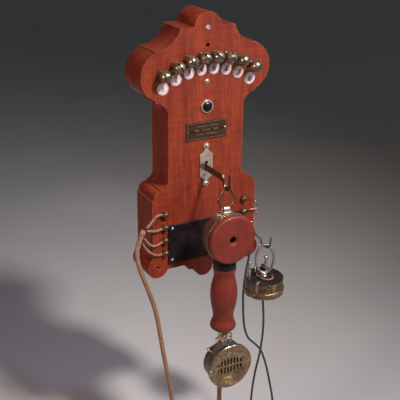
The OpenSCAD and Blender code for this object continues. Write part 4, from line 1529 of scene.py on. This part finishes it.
@dataclass(frozen=True)
class Lamp:
    """One soft lamp.

    Attributes:
        name: the lamp's name.
        place: where it stands, in metres.
        size: its width in metres.
        power: its power in watts.
        colour: its light's colour.
        spread: how wide its light spreads, in degrees.
    """

    name: str
    place: Point
    size: float
    power: float
    colour: Colour
    spread: float = 70.0

    def light(self, target: Point) -> None:
        """Puts the lamp up.

        Args:
            target: what it points at, in metres.
        """
        data = bpy.data.lights.new(self.name, "AREA")
        data.shape, data.size = "DISK", self.size
        data.energy, data.color = self.power, self.colour
        data.spread = math.radians(self.spread)
        lamp = bpy.data.objects.new(self.name, data)
        bpy.context.scene.collection.objects.link(lamp)
        aim = Vector(target) - Vector(self.place)
        turn = aim.to_track_quat("-Z", "Y").to_matrix().to_4x4()
        lamp.matrix_world = Matrix.Translation(Vector(self.place)) @ turn
        LOG.info("%s lamp is lit at %.1f W", self.name, self.power)


@dataclass
class Studio:
    """The floor and the light.

    Attributes:
        floor: the floor's height in metres.
        sky: the brightness of the light from all round.
        middle: what the lamps point at, in metres.
    """

    floor: float = -0.6
    sky: float = 0.05
    middle: Point = (0.0, -0.05, -0.2)

    LAMPS = (
        Lamp("key", (0.25, -0.85, 0.78), 0.16, 2.8, (1.0, 0.93, 0.88)),
        Lamp("cool", (0.75, -0.75, 0.55), 0.2, 0.9, (0.6, 0.6, 1.0)),
        Lamp("warm", (-1.15, -0.45, 0.25), 0.3, 0.9, (1.0, 0.64, 0.4)),
        Lamp("low", (0.75, -1.3, -0.4), 0.5, 0.2, (1.0, 0.82, 0.62)),
        Lamp("rear", (0.3, 1.2, -0.3), 0.5, 0.4, (1.0, 0.95, 0.9)),
    )

    def build(self) -> None:
        """Lays the floor and sets the light."""
        data = bpy.data.meshes.new("floor")
        corners = [(-9, -6, self.floor), (9, -6, self.floor), (9, 12, self.floor), (-9, 12, self.floor)]
        data.from_pydata(corners, [], [(0, 1, 2, 3)])
        floor = bpy.data.objects.new("floor", data)
        bpy.context.scene.collection.objects.link(floor)
        paint = bpy.data.materials.new("floor_paint")
        paint.use_nodes = True
        graph = Graph(paint.node_tree)
        shader = paint.node_tree.nodes["Principled BSDF"]
        cloud = graph.span(graph.noise(graph.places(), 3.0, 2.0), 0.3, 0.7)
        graph.feed(shader.inputs["Base Color"], graph.mix(cloud, (0.62, 0.62, 0.61), (0.66, 0.66, 0.65)))
        shader.inputs["Roughness"].default_value = 0.9
        data.materials.append(paint)
        world = bpy.data.worlds.new("studio")
        bpy.context.scene.world = world
        world.use_nodes = True
        sky = world.node_tree.nodes["Background"]
        sky.inputs["Color"].default_value = (0.9, 0.94, 1.0, 1.0)
        sky.inputs["Strength"].default_value = self.sky
        for lamp in self.LAMPS:
            lamp.light(self.middle)
        bpy.context.scene.view_settings.view_transform = "Standard"
        LOG.info("floor lies at %.2f m", self.floor)


def main() -> None:
    """Builds the telephone in order, the camera and cords first."""
    logging.basicConfig(level=logging.INFO, format="%(name)s: %(message)s")
    View().build()
    wardrobe = Wardrobe(FINISHES)
    Cords().build(wardrobe)
    parts = (
        Case(), LineTerminals(), NamePlate(), CallButton(),
        HookSwitch(), TerminalBoard(), Handset(), SecondReceiver(),
    )
    for part in parts:
        part.build(wardrobe)
        LOG.info("%s is finished", type(part).__name__)
    Studio().build()


if __name__ == "__main__":
    main()
